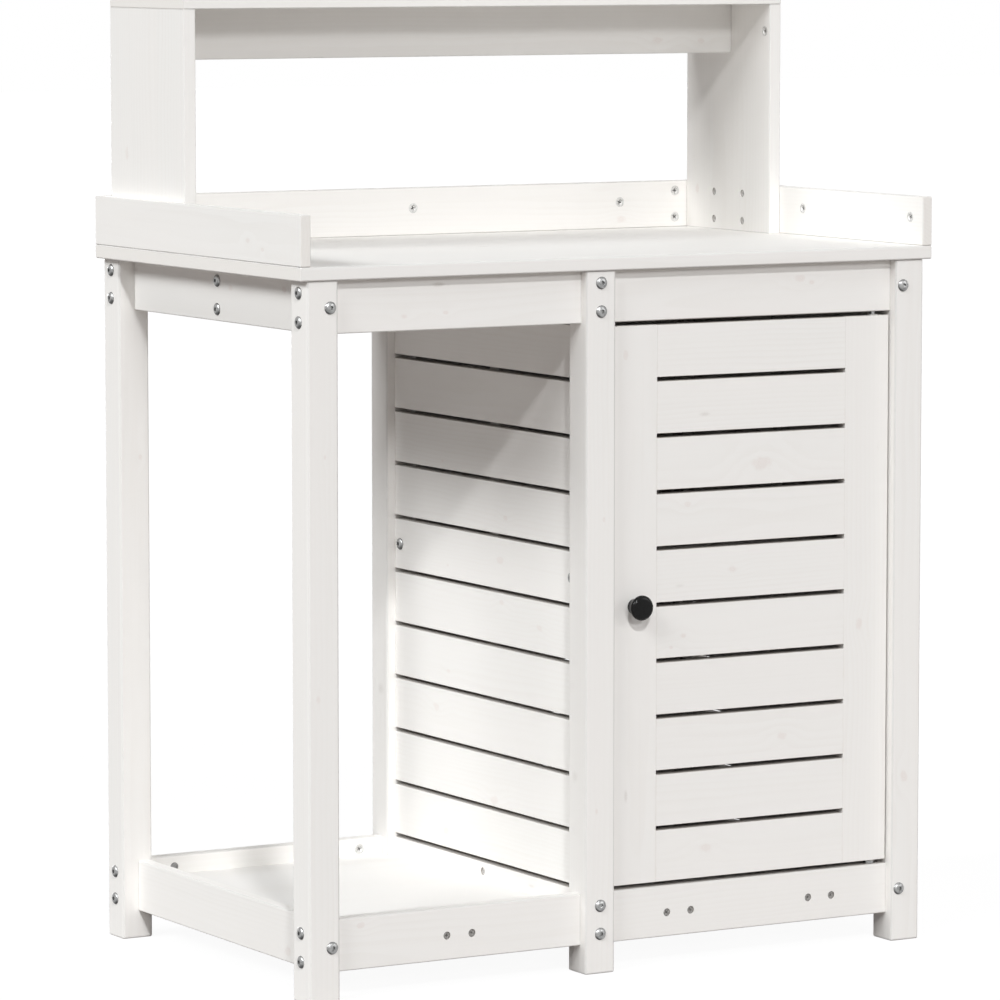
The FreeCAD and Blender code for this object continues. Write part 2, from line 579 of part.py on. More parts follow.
def make_shelf_cams():
    """Cams that hold the top shelf to the uprights and the rail between them."""
    sides = ((RIM_X[0] + UPRIGHT, X), (RIM_X[1] - UPRIGHT, X * -1))
    for face, inward in sides:
        line = face - inward.x * UPRIGHT / 2
        for y in (UPRIGHT_Y[0] + UPRIGHT_CAM_EDGE, UPRIGHT_Y[1] - UPRIGHT_CAM_EDGE):
            end = FreeCAD.Vector(line, y, UPRIGHT_Z[1])
            cam_joint(end, Z * -1, inward, UPRIGHT / 2)
        end = FreeCAD.Vector(face, middle(TOP_RAIL_Y), middle(TOP_RAIL_Z))
        cam_joint(end, inward, Y, BOARD / 2)


def make_flat_screws():
    """Screws through the uprights into the side rims, and through the walls into the battens."""
    for face, along in ((RIM_X[0] + UPRIGHT, X * -1), (RIM_X[1] - UPRIGHT, X)):
        for line in UPRIGHT_SCREW_LINES:
            for lift in UPRIGHT_SCREW_HEIGHTS:
                head = FreeCAD.Vector(face, UPRIGHT_Y[0] + line, TOP_Z[1] + lift)
                wood_screw("upright_screws", head, along, FLAT_SCREW)
    height = (FLOOR_TOP + RAIL_Z[1]) / 2
    for face, along in ((PARTITION_X[0], X), (RIGHT_RAIL_X[1], X * -1)):
        head = FreeCAD.Vector(face, MIDDLE_Y, height)
        wood_screw("upright_screws", head, along, FLAT_SCREW)


def bracket(corner, out):
    """Angle bracket in the corner between an apron's inner face and the worktop."""
    side = X if abs(out.y) > 0.5 else Y
    start = corner - side * (BRACKET_WIDTH / 2)
    down = Z * -1
    steps = (
        out * BRACKET,
        down * BRACKET_SHEET,
        out * (BRACKET_SHEET - BRACKET),
        down * (BRACKET - BRACKET_SHEET),
        out * -BRACKET_SHEET,
    )
    points = [start]
    for step in steps:
        points.append(points[-1] + step)
    return sheet(points).extrude(side * BRACKET_WIDTH)


def make_brackets():
    """Brackets at the middle of each long apron and at both quarters of the side aprons."""
    height = LEG_HEIGHT
    corners = []
    for x in (middle(TRAY_X), middle(CABINET_X)):
        corners.append((FreeCAD.Vector(x, FRONT_RAIL_Y[1], height), Y))
        corners.append((FreeCAD.Vector(x, BACK_RAIL_Y[0], height), Y * -1))
    for y in ((SIDE_Y[0] + MIDDLE_Y) / 2, (SIDE_Y[1] + MIDDLE_Y) / 2):
        corners.append((FreeCAD.Vector(LEFT_RAIL_X[1], y, height), X))
        corners.append((FreeCAD.Vector(RIGHT_RAIL_X[0], y, height), X * -1))
    nodes["tabletop_brackets"] = [bracket(corner, out) for corner, out in corners]


HARDWARE = {
    "leg_bolts", "short_bolts", "barrel_nuts", "cam_locks", "batten_screws",
    "upright_screws", "tabletop_brackets", "pivot_pins", "pivot_bushes", "door_knob",
    "knob_screw", "magnetic_catch", "catch_plate",
}


def drilled(solid):
    """Wooden piece after the bores that reach it."""
    tools = [bore for bore in bores if bore.BoundBox.intersect(solid.BoundBox)]
    return solid.cut(tools) if tools else solid


def main():
    """Build every piece, drill the wooden ones and write each node to its own file."""
    make_legs()
    make_frame_boards()
    make_slatted_walls()
    make_cross_rails()
    make_floors()
    make_inner_shelf()
    make_worktop()
    make_top_shelf()
    make_door()
    make_pivots()
    make_knob()
    make_catch()
    make_leg_bolts()
    make_short_bolts()
    make_frame_cams()
    make_rim_cams()
    make_shelf_cams()
    make_flat_screws()
    make_brackets()
    os.makedirs("parts", exist_ok=True)
    for node, solids in nodes.items():
        if node not in HARDWARE:
            solids = [drilled(solid) for solid in solids]
        pieces = [piece for solid in solids for piece in solid.Solids]
        shape = pieces[0] if len(pieces) == 1 else Part.makeCompound(pieces)
        shape.exportStep(f"parts/{node}.step")
        print(node, len(pieces), "pieces", "valid" if shape.isValid() else "INVALID")


main()
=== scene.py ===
"""Painted pine potting bench: an open tray bay, a slatted cupboard with a hinged door,
a rimmed worktop and a raised shelf. Metres; +Z is up and -Y is the front."""
import json
import logging
import math
import random
from collections.abc import Iterable, Sequence
from dataclasses import dataclass, field
from enum import Enum

import bmesh
import bpy
import numpy as np
from bmesh.types import BMesh
from bpy.types import NodeSocket as Socket
from mathutils import Matrix, Vector


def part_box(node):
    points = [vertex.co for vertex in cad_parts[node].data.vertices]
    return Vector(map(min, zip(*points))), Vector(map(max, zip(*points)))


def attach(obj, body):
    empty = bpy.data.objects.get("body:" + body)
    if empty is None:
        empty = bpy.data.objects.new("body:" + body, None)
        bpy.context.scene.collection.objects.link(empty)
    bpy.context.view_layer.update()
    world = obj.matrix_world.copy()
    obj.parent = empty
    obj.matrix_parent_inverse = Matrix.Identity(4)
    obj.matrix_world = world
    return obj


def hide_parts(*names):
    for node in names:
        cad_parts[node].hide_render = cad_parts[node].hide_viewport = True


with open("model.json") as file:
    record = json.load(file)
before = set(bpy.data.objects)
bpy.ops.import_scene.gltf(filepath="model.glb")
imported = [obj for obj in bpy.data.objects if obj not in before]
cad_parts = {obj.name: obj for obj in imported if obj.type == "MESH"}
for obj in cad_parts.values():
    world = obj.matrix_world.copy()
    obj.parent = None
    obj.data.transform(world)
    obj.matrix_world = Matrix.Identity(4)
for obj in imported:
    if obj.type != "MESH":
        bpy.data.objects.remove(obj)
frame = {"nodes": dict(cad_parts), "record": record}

LOG = logging.getLogger("potting_bench")
MM = 0.001
MERGE = 0.01 * MM           # vertices closer than this are one
ROUND = 48                  # points round a turned fitting, a multiple of 24
SHARP = math.radians(32)    # edges that turn more than this stay crisp
TINY = 1e-9                 # keeps a division away from zero
BARE = (10.0, 10.0, MM)     # a knot too far off to show
KNOT_CHANCE = 0.35          # of a knot where none is listed
KNOT_SIZES = (2.5, 6.5)     # least and greatest radius of such a knot, in millimetres
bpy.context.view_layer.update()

Point = tuple[float, float]
Triple = tuple[float, float, float]
Colour = Triple
Layer = tuple[float, Colour]


def mm(*steps: Point) -> tuple[Point, ...]:
    """Points given in millimetres."""
    return tuple((first * MM, second * MM) for first, second in steps)


def knot(along: float, across: float, radius: float) -> Triple:
    """Knot's place in its board and its radius, given in millimetres."""
    return (along * MM, across * MM, radius * MM)


class Grain(Enum):
    """Direction that a board's grain runs in."""

    ALONG_X = 0
    ALONG_Y = 1
    ALONG_Z = 2


class Slot(Enum):
    """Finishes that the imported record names."""

    PINE = "painted_pine"
    PANEL = "painted_panel"
    ZINC = "zinc_steel"
    PAINTED_STEEL = "painted_steel"
    KNOB = "black_knob"
    NYLON = "nylon"
    CATCH = "catch_plastic"


class Drive(Enum):
    """Recess that a fitting is turned by."""

    HEX = "hex"
    CROSS = "cross"
    BLADE = "blade"

    def outline(self, size: float) -> list[Point]:
        """Corners of the recess, as seen from above.

        Args:
            size: Distance from the axis to the recess's far ends.

        Returns:
            ROUND points, anticlockwise from +X.
        """
        narrow = size * math.tan(math.radians(15))
        points = []
        for step in range(ROUND):
            angle = math.tau * step / ROUND
            across, up = abs(math.cos(angle)) + TINY, abs(math.sin(angle)) + TINY
            reach = {
                Drive.HEX: size * math.cos(math.pi / 6)
                / math.cos((angle % (math.pi / 3)) - math.pi / 6),
                Drive.CROSS: max(min(size / across, narrow / up), min(narrow / across, size / up)),
                Drive.BLADE: min(size / across, narrow / up),
            }[self]
            points.append((reach * math.cos(angle), reach * math.sin(angle)))
        return points


# ---- finishes ----
class Graph:
    """Wires the shader nodes of one material or world."""

    def __init__(self, owner: bpy.types.ID) -> None:
        """Empties a node tree and takes it over.

        Args:
            owner: Material or world that the tree belongs to.
        """
        owner.use_nodes = True
        owner.node_tree.nodes.clear()
        self.tree = owner.node_tree

    def node(self, kind: str, inputs: dict | None = None, **settings: object) -> bpy.types.Node:
        """Adds a node.

        Args:
            kind: Type name without its ShaderNode prefix.
            inputs: Socket name or number to a value or to the socket that feeds it.
            settings: Properties of the node itself.

        Returns:
            The new node.
        """
        made = self.tree.nodes.new(f"ShaderNode{kind}")
        for name, value in settings.items():
            setattr(made, name, value)
        for name, value in (inputs or {}).items():
            if isinstance(value, Socket):
                self.tree.links.new(value, made.inputs[name])
            else:
                made.inputs[name].default_value = value
        return made

    def math(self, operation: str, *values: object) -> Socket:
        """Result of a sum over numbers and sockets."""
        return self.node("Math", dict(enumerate(values)), operation=operation).outputs[0]

    def mul(self, first: object, second: object) -> Socket:
        """Product of two numbers or sockets."""
        return self.math("MULTIPLY", first, second)

    def mul_add(self, first: object, second: object, third: object) -> Socket:
        """Product of the first two, plus the third."""
        return self.math("MULTIPLY_ADD", first, second, third)

    def vector(self, operation: str, *values: object) -> Socket:
        """Result of a sum over vectors."""
        return self.node("VectorMath", dict(enumerate(values)), operation=operation).outputs[0]

    def read(self, name: str, output: str = "Vector") -> Socket:
        """One of the marks that Timber.mark leaves on a mesh."""
        return self.node("Attribute", attribute_name=name).outputs[output]

    def split(self, vector: object) -> tuple[Socket, ...]:
        """The three parts of a vector."""
        return tuple(self.node("SeparateXYZ", {0: vector}).outputs)

    def noise(self, place: object, scale: float, detail: float = 2.0) -> Socket:
        """Soft noise between 0 and 1."""
        inputs = {"Vector": place, "Scale": scale, "Detail": detail}
        return self.node("TexNoise", inputs).outputs[0]

    def figure(self, place: object, scales: Triple, detail: float = 2.0) -> Socket:
        """Soft noise with a scale of its own along each axis."""
        return self.noise(self.vector("MULTIPLY", place, scales), 1.0, detail)

    def fade(self, value: object, near: object, far: object) -> Socket:
        """Smooth step from 0, where the value is near, to 1, where it is far."""
        inputs = {"Value": value, "From Min": near, "From Max": far}
        return self.node("MapRange", inputs, interpolation_type="SMOOTHSTEP").outputs[0]

    def blend(self, share: object, under: object, over: object) -> Socket:
        """Mixes a share of the second colour into the first."""
        pair = [(*c, 1.0) if isinstance(c, tuple) else c for c in (under, over)]
        return self.node("Mix", {0: share, 6: pair[0], 7: pair[1]}, data_type="RGBA").outputs[2]

    def bump(self, height: object, strength: float, distance: float) -> Socket:
        """Normal roughened by a height."""
        inputs = {"Height": height, "Strength": strength, "Distance": distance}
        return self.node("Bump", inputs).outputs[0]


@dataclass(frozen=True)
class Finish:
    """Surface of one kind of piece."""

    slot: Slot
    grade: str = field(default="", kw_only=True)

    def paint(self, graph: Graph) -> dict[str, object]:
        """Inputs of the surface shader, by socket name."""
        raise NotImplementedError

    def material(self) -> bpy.types.Material:
        """Makes the finish's material, the first time that it is asked for.

        Returns:
            The material.
        """
        name = f"{self.slot.value}{self.grade}"
        made = bpy.data.materials.get(name)
        if made and made.get("finished"):
            return made
        made = bpy.data.materials.new(name)
        made.name = name
        made["finished"] = True
        graph = Graph(made)
        shader = graph.node("BsdfPrincipled", self.paint(graph))
        graph.node("OutputMaterial", {"Surface": shader.outputs[0]})
        return made


@dataclass(frozen=True)
class PaintedPine(Finish):
    """Thin white paint through which growth rings, fibres and knots still show."""

    slot: Slot = Slot.PINE
    warm_paint: Colour = (0.872, 0.846, 0.818)
    cool_paint: Colour = (0.856, 0.848, 0.826)
    # How much of each mark shows, and its colour.
    grain: Layer = (0.17, (0.760, 0.722, 0.680))
    knots: Layer = (0.32, (0.700, 0.590, 0.550))
    pits: Layer = (0.34, (0.420, 0.370, 0.330))
    # Painted shade on the rounded arrises, which holds back the light that they catch.
    painted_arris_shade: Layer = (1.0, (0.660, 0.648, 0.634))
    worn: Layer = (0.26, (0.720, 0.660, 0.590))
    ends: Layer = (0.22, (0.720, 0.660, 0.590))
    dull: Layer = (0.16, (0.835, 0.818, 0.796))
    # Painted shade in the bores and on the edges that face a gap.
    bores: Layer = (0.85, (0.360, 0.330, 0.300))
    most_arris_shade: float = 0.85
    full_arris_shade: float = 1.2 * MM     # rounding at which the painted shade on an arris reaches its greatest share
    ring_pitch: float = 4.2 * MM
    ring_wander: float = 16 * MM
    stave_width: float = 66 * MM

    def knot(self, graph: Graph, place: Socket, name: str) -> tuple[Socket, Socket]:
        """One knot, at the place that the board's mark gives.

        Args:
            graph: Graph of the material.
            place: Position in the board.
            name: Mark with the knot's position along and across, and its radius.

        Returns:
            How much of the knot shows, and how far it pushes the rings aside.
        """
        along, across, _ = graph.split(place)
        knot_along, knot_across, radius = graph.split(graph.read(name))
        wander = graph.mul(graph.noise(place, 120.0), radius)
        du = graph.mul(graph.math("SUBTRACT", along, knot_along), 0.62)
        dv = graph.math("SUBTRACT", across, knot_across)
        square = graph.mul_add(du, du, graph.mul(dv, dv))
        distance = graph.math("ADD", graph.math("SQRT", square), wander)
        shown = graph.fade(distance, graph.mul(radius, 1.5), graph.mul(radius, 0.9))
        rings = graph.math("SINE", graph.math("DIVIDE", distance, 0.32 * MM))
        shown = graph.mul(shown, graph.mul_add(rings, 0.18, 0.82))
        push = graph.mul(graph.fade(distance, graph.mul(radius, 5.0), 0.0), radius)
        return shown, push

    def tree(self, graph: Graph, place: Socket, half: Socket, tone: Socket) -> Socket:
        """Position in the tree, which jumps from stave to stave of a glued board.

        Args:
            graph: Graph of the material.
            place: Position in the board.
            half: Half of the board's size.
            tone: Number of the board's own, from 0 to 1.

        Returns:
            Socket of the position.
        """
        side = graph.math("ADD", graph.split(place)[1], graph.split(half)[1])
        stave = graph.math("FLOOR", graph.math("DIVIDE", side, self.stave_width))
        stave = graph.math("ADD", stave, graph.mul(tone, 97.0))
        shuffle = graph.node("TexWhiteNoise", {"W": stave}, noise_dimensions="1D").outputs["Color"]
        shift = graph.vector("MULTIPLY", shuffle, (3.0, 0.09, 0.05))
        centred = graph.vector("ADD", shift, (0.0, -0.045, 0.012))
        return graph.vector("ADD", graph.read("grain"), centred)

    def figure(self, graph: Graph, grain: Socket, push: Socket) -> Socket:
        """How much of the late wood and of the streaks shows through the paint.

        Args:
            graph: Graph of the material.
            grain: Position in the tree.
            push: How far the knots push the rings aside.

        Returns:
            Socket of the share.
        """
        _, gv, gw = graph.split(grain)
        wave = graph.figure(grain, (2.6, 9.0, 9.0), 3.0)
        pith = graph.math("SQRT", graph.mul_add(gv, gv, graph.mul(gw, gw)))
        radius = graph.mul_add(wave, self.ring_wander, graph.math("ADD", pith, push))
        growth = graph.math("FRACT", graph.math("DIVIDE", radius, self.ring_pitch))
        late = graph.mul(graph.fade(growth, 0.25, 0.88), graph.fade(growth, 1.0, 0.92))
        streak = graph.figure(grain, (4.0, 170.0, 170.0), 4.0)
        cover = graph.fade(graph.figure(grain, (3.0, 14.0, 14.0)), 0.36, 0.66)
        shows = graph.mul(late, graph.mul_add(cover, 0.75, 0.25))
        return graph.math("ADD", shows, graph.mul(graph.fade(streak, 0.52, 0.78), 0.7))

    def wear(self, graph: Graph, grain: Socket, place: Socket, half: Socket) -> tuple[Socket, ...]:
        """Marks that follow the faces and arrises of the board.

        Args:
            graph: Graph of the material.
            grain: Position in the tree.
            place: Position in the board.
            half: Half of the board's size.

        Returns:
            Painted shade on the arrises, bare patches, ends, and painted shade in the bores and on
            the edges that face a gap.
        """
        near = graph.split(graph.vector("SUBTRACT", half, graph.vector("ABSOLUTE", place)))
        low = graph.math("MINIMUM", near[0], near[1])
        high = graph.math("MAXIMUM", near[0], near[1])
        # Second smallest of the distances to the faces: small only near the arrises.
        arris = graph.math("MAXIMUM", low, graph.math("MINIMUM", high, near[2]))
        under = graph.math("MINIMUM", low, near[2])
        ease = graph.read("ease", "Fac")
        # Painted shade along the arrises, its share growing with their rounding.
        painted_arris_shade = graph.fade(graph.math("DIVIDE", arris, ease), 1.0, 0.35)
        share = graph.math("MINIMUM", graph.math("DIVIDE", ease, self.full_arris_shade), self.most_arris_shade)
        patchy = graph.fade(graph.figure(grain, (30.0, 90.0, 90.0), 4.0), 0.42, 0.72)
        worn = graph.mul(graph.fade(arris, 2.2 * MM, 0.4 * MM), patchy)
        end = graph.fade(near[0], 0.3 * MM, 0.1 * MM)
        # Painted shade on the walls of the bores, which lie deeper than the rounding from every
        # face.
        bore = graph.fade(graph.math("DIVIDE", under, ease), 0.36, 0.6)
        # Painted shade on the long edges that face a gap between boards, as much as the board's
        # mark asks for.
        facing = graph.fade(near[1], 0.35 * MM, 0.1 * MM)
        gap_shaded = graph.mul(facing, graph.read("painted_gap_shade", "Fac"))
        return graph.mul(painted_arris_shade, share), worn, end, graph.math("MAXIMUM", bore, gap_shaded)

    def paint(self, graph: Graph) -> dict[str, object]:
        """Wires the paint over the wood.

        Args:
            graph: Graph of the material.

        Returns:
            Inputs of the surface shader, by socket name.
        """
        place, half, tone = graph.read("place"), graph.read("half"), graph.read("tone", "Fac")
        grain = self.tree(graph, place, half, tone)
        first, push_a = self.knot(graph, place, "knot_a")
        second, push_b = self.knot(graph, place, "knot_b")
        knots = graph.math("MAXIMUM", first, second)
        shows = self.figure(graph, grain, graph.math("ADD", push_a, push_b))
        fibre = graph.figure(grain, (26.0, 1300.0, 1300.0), 3.0)
        cells = {"Vector": graph.vector("MULTIPLY", grain, (5.0, 16.0, 5.0)), "Scale": 1.0}
        cell = graph.node("TexVoronoi", cells).outputs["Distance"]
        pit = graph.fade(cell, 0.055, 0.02)
        painted_arris_shade, worn, end, bore = self.wear(graph, grain, place, half)

        clouds = graph.figure(grain, (3.0, 11.0, 11.0))
        colour = graph.blend(clouds, self.warm_paint, self.cool_paint)
        for mask, (depth, over) in (
            (shows, self.grain), (knots, self.knots), (pit, self.pits), (painted_arris_shade, self.painted_arris_shade),
            (worn, self.worn), (end, self.ends), (tone, self.dull), (bore, self.bores),
        ):
            colour = graph.blend(graph.mul(mask, depth), colour, over)

        height = graph.mul_add(fibre, 0.5, graph.mul(shows, -0.45))
        height = graph.mul_add(pit, -0.8, graph.mul_add(knots, 0.3, height))
        return {
            "Base Color": colour,
            "Roughness": graph.mul_add(fibre, 0.16, 0.46),
            "Specular IOR Level": 0.18,
            "Normal": graph.bump(height, 0.35, 0.12 * MM),
        }


@dataclass(frozen=True)
class PaintedPanel(Finish):
    """Smooth painted plywood with a faint lengthwise figure."""

    slot: Slot = Slot.PANEL
    paint_colour: Colour = (0.820, 0.806, 0.786)
    figure_colour: Colour = (0.780, 0.752, 0.715)

    def paint(self, graph: Graph) -> dict[str, object]:
        """Wires the paint over the plywood.

        Args:
            graph: Graph of the material.

        Returns:
            Inputs of the surface shader, by socket name.
        """
        place = graph.node("TexCoord").outputs["Object"]
        bands = graph.figure(place, (3.0, 34.0, 8.0), 3.0)
        fibre = graph.figure(place, (22.0, 900.0, 900.0))
        shows = graph.mul(graph.fade(bands, 0.46, 0.72), 0.2)
        return {
            "Base Color": graph.blend(shows, self.paint_colour, self.figure_colour),
            "Roughness": graph.mul_add(fibre, 0.12, 0.44),
            "Specular IOR Level": 0.18,
            "Normal": graph.bump(fibre, 0.25, 0.06 * MM),
        }


@dataclass(frozen=True)
class Coated(Finish):
    """Metal or moulded plastic: patches of two shades under a fine skin."""

    light: Colour
    dark: Colour
    metallic: float = 0.0
    roughness: float = 0.5
    spread: float = 0.14        # how much rougher the rough patches are
    painted_underside_shade: float = 0.0        # painted shade and dark reflection on the parts that face down
    gloss: float = 0.5
    patches: tuple[float, ...] = (180.0, 0.3, 0.75)
    skin: tuple[float, ...] = (1900.0, 0.1, 0.04 * MM)
    # Near-black colour of the painted shade and dark reflection, and the way that the parts which
    # take it face.
    underside_shade_colour: Colour = (0.02, 0.02, 0.02)
    below: Triple = (-0.5, -0.3, -0.8)

    def paint(self, graph: Graph) -> dict[str, object]:
        """Wires the patches, the painted shade on the parts that face down, and the skin.

        Args:
            graph: Graph of the material.

        Returns:
            Inputs of the surface shader, by socket name.
        """
        place = graph.node("TexCoord").outputs["Object"]
        scale, near, far = self.patches
        patches = graph.noise(place, scale, 3.0)
        colour = graph.blend(graph.fade(patches, near, far), self.light, self.dark)
        if self.painted_underside_shade:
            # Painted shade and dark reflection: parts that face along below are darkened towards
            # the near-black colour.
            faced = graph.node("NewGeometry").outputs["Normal"]
            low = graph.node("VectorMath", {0: faced, 1: self.below}, operation="DOT_PRODUCT")
            under = graph.mul(graph.fade(low.outputs["Value"], 0.58, 0.88), self.painted_underside_shade)
            colour = graph.blend(under, colour, self.underside_shade_colour)
        fine, strength, distance = self.skin
        return {
            "Base Color": colour,
            "Metallic": self.metallic,
            "Roughness": graph.mul_add(patches, self.spread, self.roughness),
            "Specular IOR Level": self.gloss,
            "Normal": graph.bump(graph.noise(place, fine), strength, distance),
        }


def steel(slot: Slot, light: Colour, dark: Colour, *values: float, grade: str = "") -> Coated:
    """Plated or painted steel with fine handling marks."""
    marks = {"patches": (420.0, 0.35, 0.7), "skin": (2600.0, 0.12, 0.03 * MM)}
    return Coated(slot, light, dark, *values, grade=grade, **marks)


PINE = PaintedPine()
PANEL = PaintedPanel()
ZINC = steel(Slot.ZINC, (0.37, 0.37, 0.365), (0.23, 0.23, 0.23), 1.0, 0.24, 0.2, 0.8)
CAST = steel(
    Slot.ZINC, (0.74, 0.735, 0.72), (0.58, 0.575, 0.56), 0.4, 0.36, 0.2, 0.2, grade="_cast"
)
PAINTED_STEEL = steel(
    Slot.PAINTED_STEEL, (0.34, 0.33, 0.315), (0.18, 0.172, 0.162), 0.0, 0.42, 0.15, 0.3
)
# Lighter copy of painted steel for the upright screws: painted light against the shade of their
# bores.
PAINTED_STEEL_LIT = steel(
    Slot.PAINTED_STEEL, (0.62, 0.605, 0.585), (0.44, 0.425, 0.41), 0.0, 0.45, 0.15, 0.1,
    grade="_lighter",
)
BLACK = Coated(
    Slot.KNOB, (0.007, 0.007, 0.007), (0.004, 0.004, 0.004), roughness=0.1, gloss=0.15
)
# Nylon given a dark colour that stands for the shade of the door's gaps the bushes sit in: painted
# shade.
NYLON = Coated(Slot.NYLON, (0.46, 0.45, 0.43), (0.40, 0.39, 0.37), roughness=0.4)
CATCH_PLASTIC = Coated(Slot.CATCH, (0.78, 0.77, 0.74), (0.72, 0.71, 0.68), roughness=0.45)


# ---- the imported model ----
@dataclass(frozen=True)
class Solid:
    """One separate solid of a CAD node."""

    corners: np.ndarray

    @property
    def low(self) -> Vector:
        """Lowest corner of its box."""
        return Vector(self.corners.min(0))

    @property
    def high(self) -> Vector:
        """Highest corner of its box."""
        return Vector(self.corners.max(0))

    @property
    def centre(self) -> Vector:
        """Middle of its box."""
        return (self.low + self.high) / 2

    def girth(self, end: Vector, out: Vector, depth: float) -> float:
        """Width of the solid near one of its ends.

        Args:
            end: Middle of the end.
            out: Unit direction from the solid to outside, through that end.
            depth: How far back from the end counts as near.

        Returns:
            Greatest distance from the axis, in metres.
        """
        rel = self.corners - np.array(end)
        back = -rel @ np.array(out)
        across = np.linalg.norm(rel + np.outer(back, np.array(out)), axis=1)
        return float(across[back < depth].max())


def solids_of(node: str) -> list[Solid]:
    """Separate solids of a CAD node.

    Args:
        node: Name of the node.

    Returns:
        The solids, from the lowest to the highest, then from the front and from the left.
    """
    work = bmesh.new()
    work.from_mesh(frame["nodes"][node].data)
    bmesh.ops.remove_doubles(work, verts=work.verts, dist=MERGE)
    found = []
    for start in work.verts:
        stack, corners = [start], []
        while stack:
            corner = stack.pop()
            if not corner.tag:
                corner.tag = True
                corners.append(tuple(corner.co))
                stack += [edge.other_vert(corner) for edge in corner.link_edges]
        if corners:
            found.append(Solid(np.array(corners)))
    work.free()
    return sorted(found, key=lambda s: tuple(round(s.centre[i], 4) for i in (2, 1, 0)))


def body_of_node(node: str) -> str:
    """Name of the body that a CAD node belongs to."""
    bodies = frame["record"]["behaviour"]["bodies"]
    return next(body for body, members in bodies.items() if node in members)


def facing(point: Vector, out: Vector) -> Matrix:
    """Placement at a point with +Z turned to a direction."""
    return Matrix.Translation(point) @ out.to_track_quat("Z", "Y").to_matrix().to_4x4()


def turned(spot: Sequence[float], angle: float, axis: str) -> Matrix:
    """Placement at a point, after a turn about one axis."""
    return Matrix.Translation(spot) @ Matrix.Rotation(angle, 4, axis)


@dataclass(frozen=True)
class Fitting:
    """Place of a bolt, nut, cam or screw, read from its CAD solid."""

    outer: Vector
    out: Vector
    length: float

    @classmethod
    def read(cls, solid: Solid, head: float) -> "Fitting":
        """Finds a fitting's axis and the end that is seen.

        Args:
            solid: The CAD solid.
            head: Depth of its head, or 0 for a plain bar, whose seen end is the one that
                lies in the face of the board that holds it.

        Returns:
            The fitting.
        """
        size = solid.high - solid.low
        usual = sorted(size)[1]
        axis = max(range(3), key=lambda i: abs(size[i] - usual))
        along = Vector([float(i == axis) for i in range(3)])
        ends = []
        for sense in (-1.0, 1.0):
            out = along * sense
            end = solid.centre + out * size[axis] / 2
            if head:
                score = solid.girth(end, out, head)
            else:
                score = -min(abs(end[axis] - face) for face in faces_round(solid.centre, axis))
            ends.append((score, end, out))
        _, outer, out = max(ends, key=lambda found: found[0])
        return cls(outer, out, size[axis])

    def matrix(self, sink: float = 0.0, turn: float = 0.0) -> Matrix:
        """Placement with its head to +Z, sunk under the CAD solid's and turned about its axis."""
        return facing(self.outer - self.out * sink, self.out) @ Matrix.Rotation(turn, 4, "Z")


def within(point: Vector, low: Vector, high: Vector) -> bool:
    """Whether a point lies in the block between two corners."""
    return all(low[i] < point[i] < high[i] for i in range(3))


def faces_round(point: Vector, axis: int) -> list[float]:
    """Places along an axis of the two faces of the board that holds a point."""
    low, high = next(box for box in TIMBER_BOXES if within(point, *box))
    return [low[axis], high[axis]]


# ---- meshes ----
def skin(work: BMesh, rings: Sequence[Sequence[Vector]], place: Matrix) -> None:
    """Adds a closed solid through rings of as many points each.

    Args:
        work: Mesh to add to.
        rings: Rings from one end to the other, each anticlockwise seen from the first end.
        place: Matrix that the points are moved by.
    """
    rows = [[work.verts.new(place @ point) for point in ring] for ring in rings]
    count = len(rows[0])
    for near, far in zip(rows, rows[1:]):
        for step in range(count):
            after = (step + 1) % count
            work.faces.new((near[step], far[step], far[after], near[after]))
    work.faces.new(rows[0])
    work.faces.new(list(reversed(rows[-1])))


def circle(height: float, radius: float, count: int = ROUND) -> list[Vector]:
    """Ring of points round the +Z axis."""
    angles = [math.tau * step / count for step in range(count)]
    return [Vector((radius * math.cos(a), radius * math.sin(a), height)) for a in angles]


def lathe(work: BMesh, profile: Iterable[Point], place: Matrix, count: int = ROUND) -> None:
    """Adds a turned solid, by its (height, radius) steps from the top of its +Z axis down."""
    skin(work, [circle(height, radius, count) for height, radius in profile], place)


@dataclass(frozen=True)
class Turned:
    """Turned fitting with a driving recess in its head."""

    profile: tuple[Point, ...]
    drive: Drive
    drive_size: float
    drive_depth: float
    taper: float = 0.6

    def add(self, work: BMesh, place: Matrix, tail: tuple[Point, ...] = ()) -> None:
        """Adds the fitting.

        Args:
            work: Mesh to add to.
            place: Matrix from the fitting's own axes.
            tail: Further (height, radius) steps under the head.
        """
        top = self.profile[0][0]
        mouth = self.drive.outline(self.drive_size)
        floor = [Vector((x * self.taper, y * self.taper, top - self.drive_depth)) for x, y in mouth]
        rim = [Vector((x, y, top)) for x, y in mouth]
        rings = [circle(height, radius) for height, radius in (*self.profile, *tail)]
        skin(work, [floor, rim, *rings], place)


def round_box(work: BMesh, low: Sequence, high: Sequence, ease: float) -> None:
    """Adds a block with every edge rounded.

    Args:
        work: Mesh to add to.
        low: Its lowest corner.
        high: Its highest corner.
        ease: Radius of the edges.
    """
    low, high = Vector(low), Vector(high)
    made = bmesh.ops.create_cube(work, size=1.0)["verts"]
    bmesh.ops.scale(work, vec=high - low, verts=made)
    bmesh.ops.translate(work, vec=(low + high) / 2, verts=made)
    edges = dict.fromkeys(edge for corner in made for edge in corner.link_edges)
    bmesh.ops.bevel(
        work, geom=list(edges), offset=ease, offset_type="OFFSET", segments=2, profile=0.5,
        affect="EDGES",
    )


def add_object(name: str, data: bpy.types.ID) -> bpy.types.Object:
    """Puts a new object in the scene.

    Args:
        name: Its name.
        data: Its mesh, lamp or camera.

    Returns:
        The object.
    """
    made = bpy.data.objects.new(name, data)
    bpy.context.scene.collection.objects.link(made)
    return made


